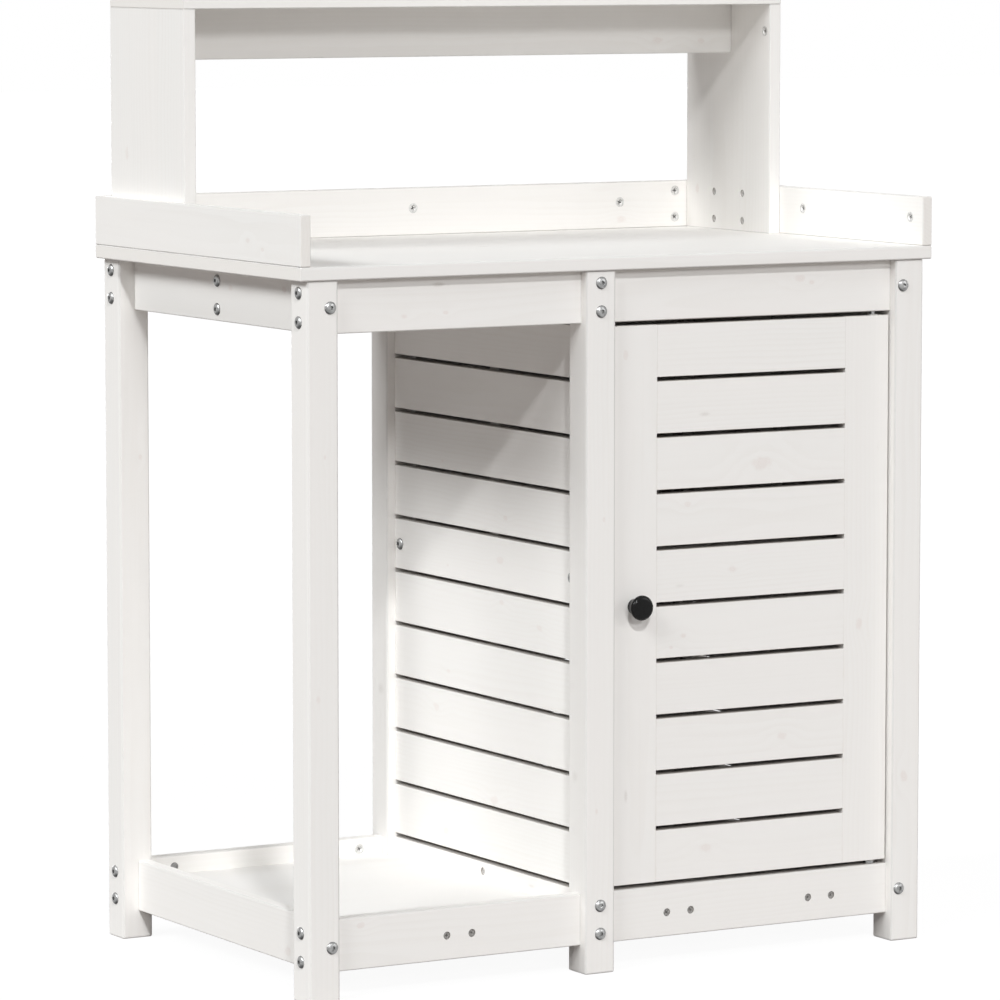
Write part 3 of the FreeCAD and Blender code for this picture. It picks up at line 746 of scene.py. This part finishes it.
def object_from(work: BMesh, name: str) -> bpy.types.Object:
    """Object of a finished mesh, in the scene.

    Args:
        work: The mesh, which is freed.
        name: Name of the object.

    Returns:
        The object.
    """
    bmesh.ops.recalc_face_normals(work, faces=work.faces)
    mesh = bpy.data.meshes.new(name)
    work.to_mesh(mesh)
    work.free()
    return add_object(name, mesh)


def publish(work: BMesh, node: str, finish: Finish, name: str = "") -> None:
    """Makes a piece, and puts it in the place of its CAD node.

    Args:
        work: Its mesh, which is freed.
        node: The CAD node that it stands for.
        finish: Its surface.
        name: Its name, if it isn't the node's with _piece after it.
    """
    made = object_from(work, name or f"{node}_piece")
    made.data.materials.clear()
    made.data.materials.append(finish.material())
    made.data.shade_smooth()
    made.data.set_sharp_from_angle(angle=SHARP)
    even = made.modifiers.new("even_shading", "WEIGHTED_NORMAL")
    even.keep_sharp = True
    even.weight = 100
    body = body_of_node(node)
    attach(made, body)
    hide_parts(node)
    LOG.info("%s: %d faces, rides on %s", made.name, len(made.data.polygons), body)


def keep(node: str, finish: Finish) -> None:
    """Gives a CAD node that stays its finish.

    Args:
        node: Name of the node.
        finish: Its surface.
    """
    part = frame["nodes"][node]
    part.data.materials.clear()
    part.data.materials.append(finish.material())
    LOG.info("%s: CAD shape kept, %s", node, finish.slot.value)


@dataclass(frozen=True)
class Hole:
    """Bore that opens in the face of a board."""

    mouth: Vector
    out: Vector
    radius: float
    depth: float

    def opens_in(self, low: Vector, high: Vector) -> bool:
        """Whether the bore starts in the block between two corners."""
        return within(self.mouth - self.out * MM, low, high)

    def add(self, work: BMesh) -> None:
        """Adds the space that the bore takes, with a little over at its mouth."""
        steps = ((MM, self.radius), (-self.depth, self.radius))
        lathe(work, steps, facing(self.mouth, self.out), ROUND // 2)


@dataclass
class Timber:
    """One board or post with rounded long edges, eased ends and its own piece of the tree."""

    low: Vector
    high: Vector
    grain: Grain
    ease: float
    seed: int
    knots: tuple[Triple, ...] = ()
    end_ease: float = 0.5 * MM
    # share of painted shade on the long edges that face a gap
    painted_gap_shade: float = 0.0
    steps: int = 4

    @property
    def order(self) -> tuple[int, int, int]:
        """Finds which way the board lies.

        Returns:
            Axes along the grain, across the width and through the thickness.
        """
        size = self.high - self.low
        first = self.grain.value
        rest = sorted((i for i in range(3) if i != first), key=lambda i: -size[i])
        return (first, *rest)

    def section(self, half: Point, inset: float) -> list[Point]:
        """Rounded outline across the grain.

        Args:
            half: Half of the width and of the thickness.
            inset: How far the outline lies inside the board's faces.

        Returns:
            Corners, anticlockwise.
        """
        points = []
        for quarter, (sx, sy) in enumerate(((1, 1), (-1, 1), (-1, -1), (1, -1))):
            for step in range(self.steps + 1):
                angle = math.pi / 2 * (quarter + step / self.steps)
                across = sx * (half[0] - self.ease) + (self.ease - inset) * math.cos(angle)
                through = sy * (half[1] - self.ease) + (self.ease - inset) * math.sin(angle)
                points.append((across, through))
        return points

    def mesh(self, holes: Sequence[Hole]) -> bpy.types.Mesh:
        """Builds the board.

        Args:
            holes: Bores that open in it.

        Returns:
            Its mesh, with the marks that the finish reads.
        """
        half = (self.high - self.low) / 2
        first, second, third = self.order
        sides = (half[second], half[third])
        inset = min(self.end_ease, self.ease * 0.8)
        ends = ((half[first], inset), (half[first] - inset, 0.0))
        stations = [(-z, shrink) for z, shrink in ends] + list(reversed(ends))
        turn = Matrix(((0.0,) * 4,) * 4)
        turn[first][2] = turn[second][0] = turn[third][1] = turn[3][3] = 1.0
        place = Matrix.Translation((self.low + self.high) / 2) @ turn
        rings = [[Vector((x, y, z)) for x, y in self.section(sides, s)] for z, s in stations]
        work = bmesh.new()
        skin(work, rings, place)
        board = object_from(work, "board")
        mesh = self.drilled(board, holes) if holes else board.data
        bpy.data.objects.remove(board)
        self.mark(mesh)
        return mesh

    def drilled(self, board: bpy.types.Object, holes: Sequence[Hole]) -> bpy.types.Mesh:
        """Cuts the bores.

        Args:
            board: The whole board.
            holes: The bores.

        Returns:
            Mesh of the drilled board.
        """
        work = bmesh.new()
        for hole in holes:
            hole.add(work)
        bits = object_from(work, "bits")
        cut = board.modifiers.new("bores", "BOOLEAN")
        cut.operation = "DIFFERENCE"
        cut.solver = "EXACT"
        cut.object = bits
        graph = bpy.context.evaluated_depsgraph_get()
        mesh = bpy.data.meshes.new_from_object(board.evaluated_get(graph))
        bpy.data.objects.remove(bits)
        return mesh

    def mark(self, mesh: bpy.types.Mesh) -> None:
        """Leaves on each vertex its place in the board, its piece of the tree and its knots.

        Args:
            mesh: Mesh of the board.
        """
        draw = random.Random(self.seed)
        centre = np.array((self.low + self.high) / 2)
        order = list(self.order)
        half = np.array(self.high - self.low)[order] / 2
        points = np.empty(len(mesh.vertices) * 3, np.float32)
        mesh.vertices.foreach_get("co", points)
        place = (points.reshape(-1, 3) - centre)[:, order]
        # Where the board lay in the tree: along it, and to two sides of its middle.
        shift = (draw.uniform(0, 40), draw.uniform(-0.05, 0.05), draw.uniform(0.005, 0.06))
        knots = list(self.knots)
        while len(knots) < 2:
            if draw.random() < KNOT_CHANCE:
                span = (half[0] * 0.9, half[1] * 0.75)
                spot = (draw.uniform(-span[0], span[0]), draw.uniform(-span[1], span[1]))
                knots.append((*spot, draw.uniform(*KNOT_SIZES) * MM))
            else:
                knots.append(BARE)
        marks = {"grain": place + shift, "place": place, "half": half}
        marks |= {"knot_a": knots[0], "knot_b": knots[1]}
        for name, value in marks.items():
            layer = mesh.attributes.new(name, "FLOAT_VECTOR", "POINT")
            values = np.broadcast_to(np.array(value, np.float32), place.shape)
            layer.data.foreach_set("vector", values.ravel())
        for name, value in (("tone", draw.random()), ("ease", self.ease), ("painted_gap_shade", self.painted_gap_shade)):
            layer = mesh.attributes.new(name, "FLOAT", "POINT")
            layer.data.foreach_set("value", np.full(len(place), value, np.float32))


def seed_of(node: str, number: int) -> int:
    """Number that a board's piece of the tree is drawn from."""
    return sum(ord(letter) * (place + 7) for place, letter in enumerate(node)) + 31 * number


@dataclass
class Boards:
    """Boards of one kind: how they are cut, and the CAD nodes that they stand for."""

    nodes: tuple[str, ...]
    grain: Grain
    ease: float = 2.0 * MM
    end_ease: float = 0.5 * MM
    knots: dict[tuple[str, int], tuple[Triple, Triple]] = field(default_factory=dict)
    finish: Finish = PINE
    # share of painted shade on the long edges that face a gap
    painted_gap_shade: float = 0.0

    def build(self) -> None:
        """Cuts, drills and paints the boards of each node, which become one piece."""
        for node in self.nodes:
            work = bmesh.new()
            for number, solid in enumerate(solids_of(node)):
                low, high = solid.low, solid.high
                if node == "door_slats":    # their tenons are hidden in the stiles
                    low.x, high.x = DOOR_SLOT
                board = Timber(
                    low, high, self.grain, self.ease, seed_of(node, number),
                    self.knots.get((node, number), ()), self.end_ease, self.painted_gap_shade,
                )
                mesh = board.mesh([hole for hole in HOLES if hole.opens_in(low, high)])
                work.from_mesh(mesh)
                bpy.data.meshes.remove(mesh)
            publish(work, node, self.finish)


# ---- timber, by sub-assembly ----
@dataclass
class Frame:
    """Legs, aprons, rails and cross rails."""

    leg_ease: float = 3.0 * MM
    rail_ease: float = 1.6 * MM

    def parts(self) -> list[Boards]:
        """Lists the boards of the frame.

        Returns:
            The boards, kind by kind.
        """
        rows = ("front", "back")
        legs = tuple(f"leg_{row}_{c}" for row in rows for c in ("left", "middle", "right"))
        long_left, long_right = (
            tuple(f"{row}_{kind}_{bay}" for row in rows for kind in ("apron", "rail"))
            for bay in ("left", "right")
        )
        short = tuple(f"{side}_{kind}" for side in ("left", "right") for kind in ("apron", "rail"))
        return [
            Boards(legs, Grain.ALONG_Z, self.leg_ease, 1.2 * MM, {
                ("leg_front_left", 0): (knot(205, 2, 2.6), knot(-60, -7, 3.4)),
                ("leg_front_middle", 0): (knot(118, 4, 2.4), knot(-212, -5, 3.0)),
            }),
            Boards(long_left, Grain.ALONG_X, self.rail_ease, 0.3 * MM),
            Boards(long_right, Grain.ALONG_X, self.rail_ease, 0.3 * MM, painted_gap_shade=0.8),
            Boards(short, Grain.ALONG_Y, self.rail_ease, 0.3 * MM),
            Boards(("cross_rail_left", "cross_rail_right"), Grain.ALONG_X, self.rail_ease),
        ]


@dataclass
class SlattedWalls:
    """Partition, right side and back of the cupboard, with their battens."""

    slat_ease: float = 0.6 * MM
    batten_ease: float = 0.8 * MM

    def parts(self) -> list[Boards]:
        """Lists the boards of the walls.

        Returns:
            The boards, kind by kind.
        """
        ends = ("partition_top_board", "partition_bottom_board")
        slats = (*ends, "partition_slats", "side_slats")
        battens = ("partition_battens", "side_battens", "back_battens")
        return [
            Boards(slats, Grain.ALONG_Y, self.slat_ease, 0.3 * MM, {
                ("partition_slats", 5): (knot(-38, 4, 6.0), knot(84, -14, 2.0)),
                ("partition_slats", 7): (knot(96, -20, 2.0), BARE),
            }, painted_gap_shade=0.65),
            Boards(("back_slats",), Grain.ALONG_X, self.slat_ease, 0.3 * MM, painted_gap_shade=0.65),
            Boards(battens, Grain.ALONG_Z, self.batten_ease),
        ]


@dataclass
class Shelves:
    """Inner shelf on its rails, and the battens under both floors."""

    rail_ease: float = 1.6 * MM
    panel_ease: float = 0.8 * MM

    def parts(self) -> list[Boards]:
        """Lists the boards of the inner shelf and floors.

        Returns:
            The boards, kind by kind.
        """
        rails = ("inner_shelf_rail_front", "inner_shelf_rail_back")
        return [
            Boards(rails, Grain.ALONG_X, self.rail_ease),
            Boards(("inner_shelf",), Grain.ALONG_X, self.panel_ease, finish=PANEL),
            Boards(("tray_batten", "cabinet_battens"), Grain.ALONG_Y, self.rail_ease),
        ]


@dataclass
class Worktop:
    """Tabletop, its three rims, and the raised shelf behind it."""

    ease: float = 2.0 * MM
    rim_ease: float = 1.4 * MM

    def parts(self) -> list[Boards]:
        """Lists the boards of the worktop and the raised shelf.

        Returns:
            The boards, kind by kind.
        """
        return [
            Boards(("tabletop",), Grain.ALONG_X, self.ease, 1.0 * MM),
            Boards(("rim_left", "rim_right"), Grain.ALONG_Y, self.rim_ease, 1.0 * MM),
            Boards(("rim_back",), Grain.ALONG_X, self.rim_ease, 0.3 * MM),
            Boards(("upright_left", "upright_right"), Grain.ALONG_Z, self.rim_ease, 0.4 * MM),
            Boards(("top_shelf", "top_shelf_rail"), Grain.ALONG_X, self.rim_ease, 0.6 * MM),
        ]


@dataclass
class Door:
    """Two stiles with slats between them."""

    ease: float = 0.45 * MM
    stile_ease: float = 0.3 * MM

    def parts(self) -> list[Boards]:
        """Lists the boards of the door.

        Returns:
            The boards, kind by kind.
        """
        stiles = ("door_stile_left", "door_stile_right")
        return [
            Boards(stiles, Grain.ALONG_Z, self.stile_ease, 0.4 * MM, {
                ("door_stile_left", 0): (knot(284, -12, 4.0), BARE),
            }),
            Boards(("door_slats",), Grain.ALONG_X, self.ease, 0.08 * MM, {
                ("door_slats", 9): (BARE, BARE),
                ("door_slats", 8): (BARE, BARE),
                ("door_slats", 7): (knot(14, -6, 10.0), BARE),
                ("door_slats", 6): (knot(-86, 16, 4.0), BARE),
            }, painted_gap_shade=1.0),
        ]


# ---- hardware ----
@dataclass
class Hardware:
    """Bolts, barrel nuts, cams and screws of the joints."""

    nut_radius: float = 5.0 * MM
    cam_radius: float = 6.0 * MM
    screw_radius: float = 4.3 * MM
    screw_sink: float = 1.5 * MM
    nut_sink: float = 0.3 * MM
    cam_sink: float = 0.05 * MM
    fit: float = 0.25 * MM
    cam_fit: float = 0.03 * MM
    bush_radius: float = 5.0 * MM
    bush_length: float = 13.0 * MM
    screw_bore: float = 2.8 * MM     # depth of a bore under the top of its screw
    head_depth: float = 0.5 * MM     # how far back from its end a head is looked for

    def bars(self, node: str) -> list[Fitting]:
        """Plain fittings, whose seen end lies in the face of a board."""
        return [Fitting.read(solid, 0.0) for solid in solids_of(node)]

    def headed(self, node: str) -> list[Fitting]:
        """Fittings with a head."""
        return [Fitting.read(solid, self.head_depth) for solid in solids_of(node)]

    def holes(self) -> list[Hole]:
        """Bores round nuts, cams and screws, and for the bushes of the pivots.

        Returns:
            The bores, each from the face that it opens in.
        """
        found = []
        nuts = ("barrel_nuts", self.nut_radius + self.fit)
        cams = ("cam_locks", self.cam_radius + self.cam_fit)
        for node, radius in (nuts, cams):
            for bar in self.bars(node):
                found.append(Hole(bar.outer, bar.out, radius, bar.length + self.fit))
        for node in ("batten_screws", "upright_screws"):
            for screw in self.headed(node):
                mouth = screw.outer + screw.out * self.screw_sink
                depth = self.screw_sink + self.screw_bore
                found.append(Hole(mouth, screw.out, self.screw_radius + self.fit, depth))
        foot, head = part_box("door_stile_right")
        for bush in solids_of("pivot_bushes"):
            spot = bush.centre
            sense = 1.0 if spot.z > (foot.z + head.z) / 2 else -1.0
            spot.z = head.z if sense > 0 else foot.z
            sleeve = (self.bush_radius + self.fit, self.bush_length + self.fit)
            found.append(Hole(spot, Vector((0.0, 0.0, sense)), *sleeve))
        return found

    def build(self) -> None:
        """Builds every fastener."""
        self.bolts()
        self.nuts()
        self.cams()
        self.screws()

    def bolts(self) -> None:
        """Domed bolts with a six-sided socket."""
        profile = mm(
            (0.0, 2.55), (-0.05, 2.9), (-0.22, 4.0), (-0.62, 5.2), (-1.2, 6.15), (-1.95, 6.8),
            (-2.3, 7.0), (-2.85, 7.0), (-3.0, 6.85), (-3.0, 3.0),
        )
        head = Turned(profile, Drive.HEX, drive_size=2.45 * MM, drive_depth=2.1 * MM, taper=0.96)
        for node in ("leg_bolts", "short_bolts"):
            self.fasten(node, self.headed(node), head, mm((0.8, 3.0), (0.0, 2.2)), ZINC, turn=0.77)

    def nuts(self) -> None:
        """Barrel nuts with a slot in the end that is seen."""
        r = self.nut_radius
        profile = ((0.0, r - 0.9 * MM), (0.0, r - 0.5 * MM), (-0.5 * MM, r))
        head = Turned(profile, Drive.BLADE, drive_size=3.9 * MM, drive_depth=1.1 * MM, taper=0.98)
        tip = ((0.8 * MM, r), (0.3 * MM, r - 0.5 * MM))
        self.fasten("barrel_nuts", self.bars("barrel_nuts"), head, tip, ZINC, self.nut_sink)

    def cams(self) -> None:
        """Cast cams with a deep cross in a dished end."""
        r = self.cam_radius
        profile = (
            *mm((-1.1, 2.7), (-0.9, 3.2), (0.0, 4.0)), (0.0, r - 0.15 * MM), (-0.15 * MM, r),
        )
        head = Turned(profile, Drive.CROSS, drive_size=2.65 * MM, drive_depth=5.5 * MM, taper=0.9)
        tip = ((0.5 * MM, r), (0.3 * MM, r - 0.4 * MM))
        places = self.bars("cam_locks")
        self.fasten("cam_locks", places, head, tip, CAST, self.cam_sink, start=0.4, turn=0.9)

    def screws(self) -> None:
        """Sunk wood screws, of which those in the uprights are lighter: painted light against the
        shade in their bores.
        """
        r = self.screw_radius
        profile = (
            (0.0, 2.5 * MM), (0.0, r - 0.25 * MM), (-0.3 * MM, r), (-0.55 * MM, r),
            (-2.5 * MM, 2.0 * MM),
        )
        head = Turned(profile, Drive.CROSS, drive_size=2.1 * MM, drive_depth=1.6 * MM)
        for node, finish in (("batten_screws", PAINTED_STEEL), ("upright_screws", PAINTED_STEEL_LIT)):
            self.fasten(node, self.headed(node), head, mm((5.0, 1.9), (0.0, 0.3)), finish, turn=1.1)

    def fasten(
        self, node: str, places: Iterable[Fitting], head: Turned, tip: Iterable[Point],
        finish: Finish, sink: float = 0.0, start: float = 0.0, turn: float = 0.0,
    ) -> None:
        """Builds the fasteners of one node.

        Args:
            node: Name of the node.
            places: Where they are.
            head: Their heads.
            tip: (height over the tip, radius) steps at their other ends.
            finish: Their surface.
            sink: How far the heads lie under those of the CAD solids.
            start: Angle that the first is turned by.
            turn: Angle that each is turned further than the last.
        """
        work = bmesh.new()
        for number, one in enumerate(places):
            tail = tuple((height - one.length, radius) for height, radius in tip)
            head.add(work, one.matrix(sink, start + number * turn), tail)
        publish(work, node, finish)


@dataclass
class DoorFittings:
    """Knob, its screw and the pivots."""

    knob_reach: float = 21.0 * MM
    knob_radius: float = 14.25 * MM
    knob_rim: float = 4.2 * MM
    rim_drop: float = 4.6 * MM      # from the top of the cap to the middle of its rim
    knob_points: int = 96

    def build(self) -> None:
        """Builds the door's fittings."""
        self.knob()
        self.knob_screw()
        keep("pivot_pins", ZINC)
        keep("pivot_bushes", NYLON)

    def knob(self) -> None:
        """Turned knob: a cap with a soft rim on a tapered neck."""
        low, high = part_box("door_knob")
        centre = (low + high) / 2
        r, rim = self.knob_radius, self.knob_rim
        dome = ((0.0, 0.08), (0.04, 0.3), (0.16, 0.5), (0.32, 0.66))
        cap = [(-drop * MM, r * share) for drop, share in dome]
        for degrees in range(80, -64, -13):
            angle = math.radians(degrees)
            cap.append((-self.rim_drop + rim * math.sin(angle), r - rim + rim * math.cos(angle)))
        cap += mm((-10.6, 11.0), (-13.0, 10.2), (-16.0, 9.5), (-19.0, 9.0))
        cap.append((-self.knob_reach, 8.8 * MM))
        work = bmesh.new()
        lathe(work, cap, turned((centre.x, low.y, centre.z), math.pi / 2, "X"), self.knob_points)
        publish(work, "door_knob", BLACK)

    def knob_screw(self) -> None:
        """Pan head screw through the stile into the knob."""
        low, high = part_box("knob_screw")
        centre = (low + high) / 2
        profile = mm((0.0, 2.4), (-0.1, 2.9), (-0.7, 3.7), (-1.5, 4.0), (-2.4, 3.9), (-2.4, 2.0))
        head = Turned(profile, Drive.CROSS, drive_size=2.0 * MM, drive_depth=1.4 * MM)
        work = bmesh.new()
        place = turned((centre.x, high.y, centre.z), -math.pi / 2, "X")
        head.add(work, place, ((low.y - high.y, 1.9 * MM),))
        publish(work, "knob_screw", ZINC)


@dataclass
class Catch:
    """Magnetic catch, a moulded case with ears and two pole plates, and the plate that it holds."""

    case_set_back: float = 1.6 * MM     # behind the ends of the pole plates
    ear: float = 7.0 * MM               # from the case to the end of an ear
    ear_sheet: float = 3.2 * MM
    ear_set_back: float = 9.0 * MM      # behind the ends of the pole plates
    ear_set_in: float = 6.0 * MM        # before the back of the case
    case_ease: float = 1.2 * MM
    pole_offset: float = 3.2 * MM       # from the middle of the case
    pole_half: Point = (0.8 * MM, 12.0 * MM)    # half of a pole plate's thickness and height
    pole_depth: float = 12.0 * MM
    pole_ease: float = 0.3 * MM
    screw_set_in: float = 3.6 * MM      # from the end of an ear
    screw_top: float = 4.1 * MM         # over the side of the case that is fixed
    plate_ease: float = 0.4 * MM

    def build(self) -> None:
        """Builds the catch and its plate."""
        self.case()
        self.poles()
        plate = bmesh.new()
        round_box(plate, *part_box("catch_plate"), self.plate_ease)
        publish(plate, "catch_plate", ZINC)

    def case(self) -> None:
        """Case with an ear above and below."""
        low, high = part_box("magnetic_catch")
        work = bmesh.new()
        near = (low.x, low.y + self.case_set_back, low.z + self.ear)
        round_box(work, near, (high.x, high.y, high.z - self.ear), self.case_ease)
        near = (low.x, low.y + self.ear_set_back, low.z)
        far = (low.x + self.ear_sheet, high.y - self.ear_set_in, high.z)
        round_box(work, near, far, self.case_ease)
        publish(work, "magnetic_catch", CATCH_PLASTIC)

    def poles(self) -> None:
        """Pole plates, and a screw through each ear."""
        low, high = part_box("magnetic_catch")
        middle = (low + high) / 2
        thick, tall = self.pole_half
        work = bmesh.new()
        for side in (-1.0, 1.0):
            line = middle.x + side * self.pole_offset
            near = (line - thick, low.y, middle.z - tall)
            far = (line + thick, low.y + self.pole_depth, middle.z + tall)
            round_box(work, near, far, self.pole_ease)
        profile = mm((0.0, 2.2), (-0.2, 2.8), (-0.9, 3.1))
        screw = Turned(profile, Drive.CROSS, drive_size=1.8 * MM, drive_depth=0.8 * MM)
        for height in (low.z + self.screw_set_in, high.z - self.screw_set_in):
            place = turned((low.x + self.screw_top, middle.y, height), math.pi / 2, "Y")
            screw.add(work, place)
        publish(work, "magnetic_catch", ZINC, "catch_steel_piece")


@dataclass
class Brackets:
    """Angle brackets under the worktop."""

    leaf: float = 25.0 * MM
    sheet: float = 2.0 * MM
    bend: float = 2.6 * MM
    head: float = 0.8 * MM
    screw_place: float = 0.62    # share of the leaf from the bend to its screw

    def build(self) -> None:
        """Builds the brackets with their screws."""
        work = bmesh.new()
        profile = mm((0.0, 2.4), (-0.3, 3.2), (-0.8, 3.6))
        screw = Turned(profile, Drive.CROSS, drive_size=2.0 * MM, drive_depth=0.9 * MM)
        for solid in solids_of("tabletop_brackets"):
            self.bracket(work, solid, screw)
        publish(work, "tabletop_brackets", ZINC)

    def section(self) -> list[Point]:
        """Outline of the bent strip, seen along its bend.

        Returns:
            Points (along the flat leaf, up), with the bend's outer corner at the origin.
        """
        bend, sheet = self.bend, self.sheet
        path = [(self.leaf, 0.0, 0.0, -1.0)]
        for degrees in (90.0, 112.5, 135.0, 157.5, 180.0):
            along, rise = math.cos(math.radians(degrees)), math.sin(math.radians(degrees))
            path.append((bend + bend * along, bend * rise - bend, -along, -rise))
        path.append((0.0, -self.leaf, 1.0, 0.0))
        outer = [(x, z) for x, z, _, _ in path]
        return outer + [(x + nx * sheet, z + nz * sheet) for x, z, nx, nz in reversed(path)]

    def bracket(self, work: BMesh, solid: Solid, screw: Turned) -> None:
        """Adds one bent strip with a screw in each leaf.

        Args:
            work: Mesh to add to.
            solid: CAD solid of the bracket.
            screw: Head of its screws.
        """
        low, high, corner = solid.low, solid.high, solid.centre
        size = high - low
        across = 0 if abs(size.x - self.leaf) > abs(size.y - self.leaf) else 1
        flat_axis = 1 - across
        # The upright leaf is the side with more corners at the bottom.
        foot = solid.corners[solid.corners[:, 2] < low.z + MM][:, flat_axis].mean()
        sense = 1.0 if foot < corner[flat_axis] else -1.0
        out, up = Vector((0.0, 0.0, 0.0)), Vector((0.0, 0.0, 1.0))
        out[flat_axis] = sense
        corner[flat_axis] -= sense * size[flat_axis] / 2
        corner.z = high.z
        turn = Matrix((out, up.cross(out), up)).transposed().to_4x4()
        place = Matrix.Translation(corner) @ turn
        outline, width = self.section(), size[across] / 2
        skin(work, [[Vector((x, y, z)) for x, z in outline] for y in (-width, width)], place)
        reach, lift = self.leaf * self.screw_place, self.sheet + self.head
        screw.add(work, place @ turned((reach, 0.0, -lift), math.pi, "X"))
        screw.add(work, place @ turned((lift, 0.0, -reach), math.pi / 2, "Y"))


# ---- studio ----
WHITE = (1.0, 1.0, 1.0, 1.0)
DAYLIGHT = (0.975, 0.985, 0.995)
SKYLIGHT = (0.965, 0.99, 1.0)


@dataclass(frozen=True)
class Lamp:
    """Distant lamp: the way that its light goes, its strength and how soft it is."""

    name: str
    way: Triple
    strength: float
    spread: float
    colour: Colour

    def build(self) -> None:
        """Hangs the lamp."""
        data = bpy.data.lights.new(self.name, "SUN")
        data.color = self.colour
        data.energy = self.strength
        data.angle = math.radians(self.spread)
        made = add_object(self.name, data)
        made.rotation_euler = Vector(self.way).to_track_quat("-Z", "Y").to_euler()


@dataclass
class Studio:
    """Camera, lamps, world and floor."""

    camera_place: Triple = (-3.19574, -5.46643, 1.17576)
    camera_turn: Triple = (84.029, 0.0, -30.162)
    lens: float = 197.528
    ambient: float = 0.085
    ambient_colour: tuple[float, ...] = (1.0, 0.94, 0.91, 1.0)
    floor_half: float = 30.0
    floor_drop: float = 0.2 * MM
    floor_colour: tuple[float, ...] = (0.375, 0.344, 0.33, 1.0)
    floor_seen: tuple[float, ...] = (0.1, 0.1, 0.1, 1.0)
    floor_glow: float = 0.94
    lamps: tuple[Lamp, ...] = (
        Lamp("front_key", (0.37, 1.0, -0.8), 1.37, 4.0, DAYLIGHT),
        Lamp("low_front", (0.12, 1.0, -0.38), 0.66, 7.0, DAYLIGHT),
        Lamp("right_front", (-0.84, 1.0, -0.4), 0.42, 25.0, DAYLIGHT),
        Lamp("left_front", (1.0, 0.445, -0.80), 0.96, 20.0, SKYLIGHT),
        Lamp("left_key", (1.0, -0.05, -0.66), 1.55, 18.0, SKYLIGHT),
        Lamp("back_fill", (-0.2, -1.0, -0.04), 1.0, 12.0, DAYLIGHT),
        Lamp("right_fill", (-1.0, -0.2, -0.1), 0.8, 20.0, DAYLIGHT),
    )

    def build(self) -> None:
        """Sets up the studio."""
        scene = bpy.context.scene
        scene.view_settings.view_transform = "Standard"
        data = bpy.data.cameras.new("camera")
        data.sensor_width = 36.0
        data.lens = self.lens
        data.clip_end = 200.0
        scene.camera = add_object("camera", data)
        scene.camera.location = self.camera_place
        scene.camera.rotation_euler = [math.radians(angle) for angle in self.camera_turn]
        for lamp in self.lamps:
            lamp.build()
        self.world()
        self.floor()

    def share(self, graph: Graph, light: bpy.types.Node, seen: bpy.types.Node) -> dict:
        """Keeps what lights the bench apart from what is seen.

        Args:
            graph: Graph of the world or floor.
            light: Shader that lights the bench.
            seen: Shader for rays from the camera, mirrored and refracted ones too.

        Returns:
            Input of the output node.
        """
        path = graph.node("LightPath").outputs
        mirrored = graph.math("MAXIMUM", path["Is Glossy Ray"], path["Is Transmission Ray"])
        shown = graph.math("MAXIMUM", path["Is Camera Ray"], mirrored)
        mixed = graph.node("MixShader", {0: shown, 1: light.outputs[0], 2: seen.outputs[0]})
        return {"Surface": mixed.outputs[0]}

    def world(self) -> None:
        """White background over an even, weaker light."""
        world = bpy.data.worlds.new("studio")
        bpy.context.scene.world = world
        graph = Graph(world)
        even = {"Color": self.ambient_colour, "Strength": self.ambient}
        light = graph.node("Background", even)
        white = graph.node("Background", {"Color": WHITE, "Strength": 1.0})
        graph.node("OutputWorld", self.share(graph, light, white))

    def floor(self) -> None:
        """White floor that keeps a faint shadow."""
        mesh = bpy.data.meshes.new("floor")
        corners = ((-1, -1), (1, -1), (1, 1), (-1, 1))
        points = [(x * self.floor_half, y * self.floor_half, 0) for x, y in corners]
        mesh.from_pydata(points, [], [(0, 1, 2, 3)])
        floor = add_object("floor", mesh)
        floor.location.z = -self.floor_drop
        made = bpy.data.materials.new("floor")
        graph = Graph(made)
        matt = graph.node("BsdfDiffuse", {"Color": self.floor_colour})
        faint = graph.node("BsdfDiffuse", {"Color": self.floor_seen})
        glow = graph.node("Emission", {"Color": WHITE, "Strength": self.floor_glow})
        white = graph.node("AddShader", {0: faint.outputs[0], 1: glow.outputs[0]})
        graph.node("OutputMaterial", self.share(graph, matt, white))
        mesh.materials.append(made)


def main() -> None:
    """Builds the bench, sub-assembly by sub-assembly, and then the studio."""
    logging.basicConfig(level=logging.INFO, format="%(message)s")
    for group in SUB_ASSEMBLIES:
        for boards in group.parts():
            boards.build()
    for node in ("tray_floor", "cabinet_floor"):
        keep(node, PANEL)
    HARDWARE.build()
    DoorFittings().build()
    Catch().build()
    Brackets().build()
    Studio().build()


SUB_ASSEMBLIES = (Frame(), SlattedWalls(), Shelves(), Worktop(), Door())
TIMBER_BOXES = [
    (solid.low, solid.high)
    for group in SUB_ASSEMBLIES
    for boards in group.parts()
    for node in boards.nodes
    for solid in solids_of(node)
]
DOOR_SLOT = (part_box("door_stile_left")[1].x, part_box("door_stile_right")[0].x)
HARDWARE = Hardware()
HOLES = HARDWARE.holes()

if __name__ == "__main__":
    main()
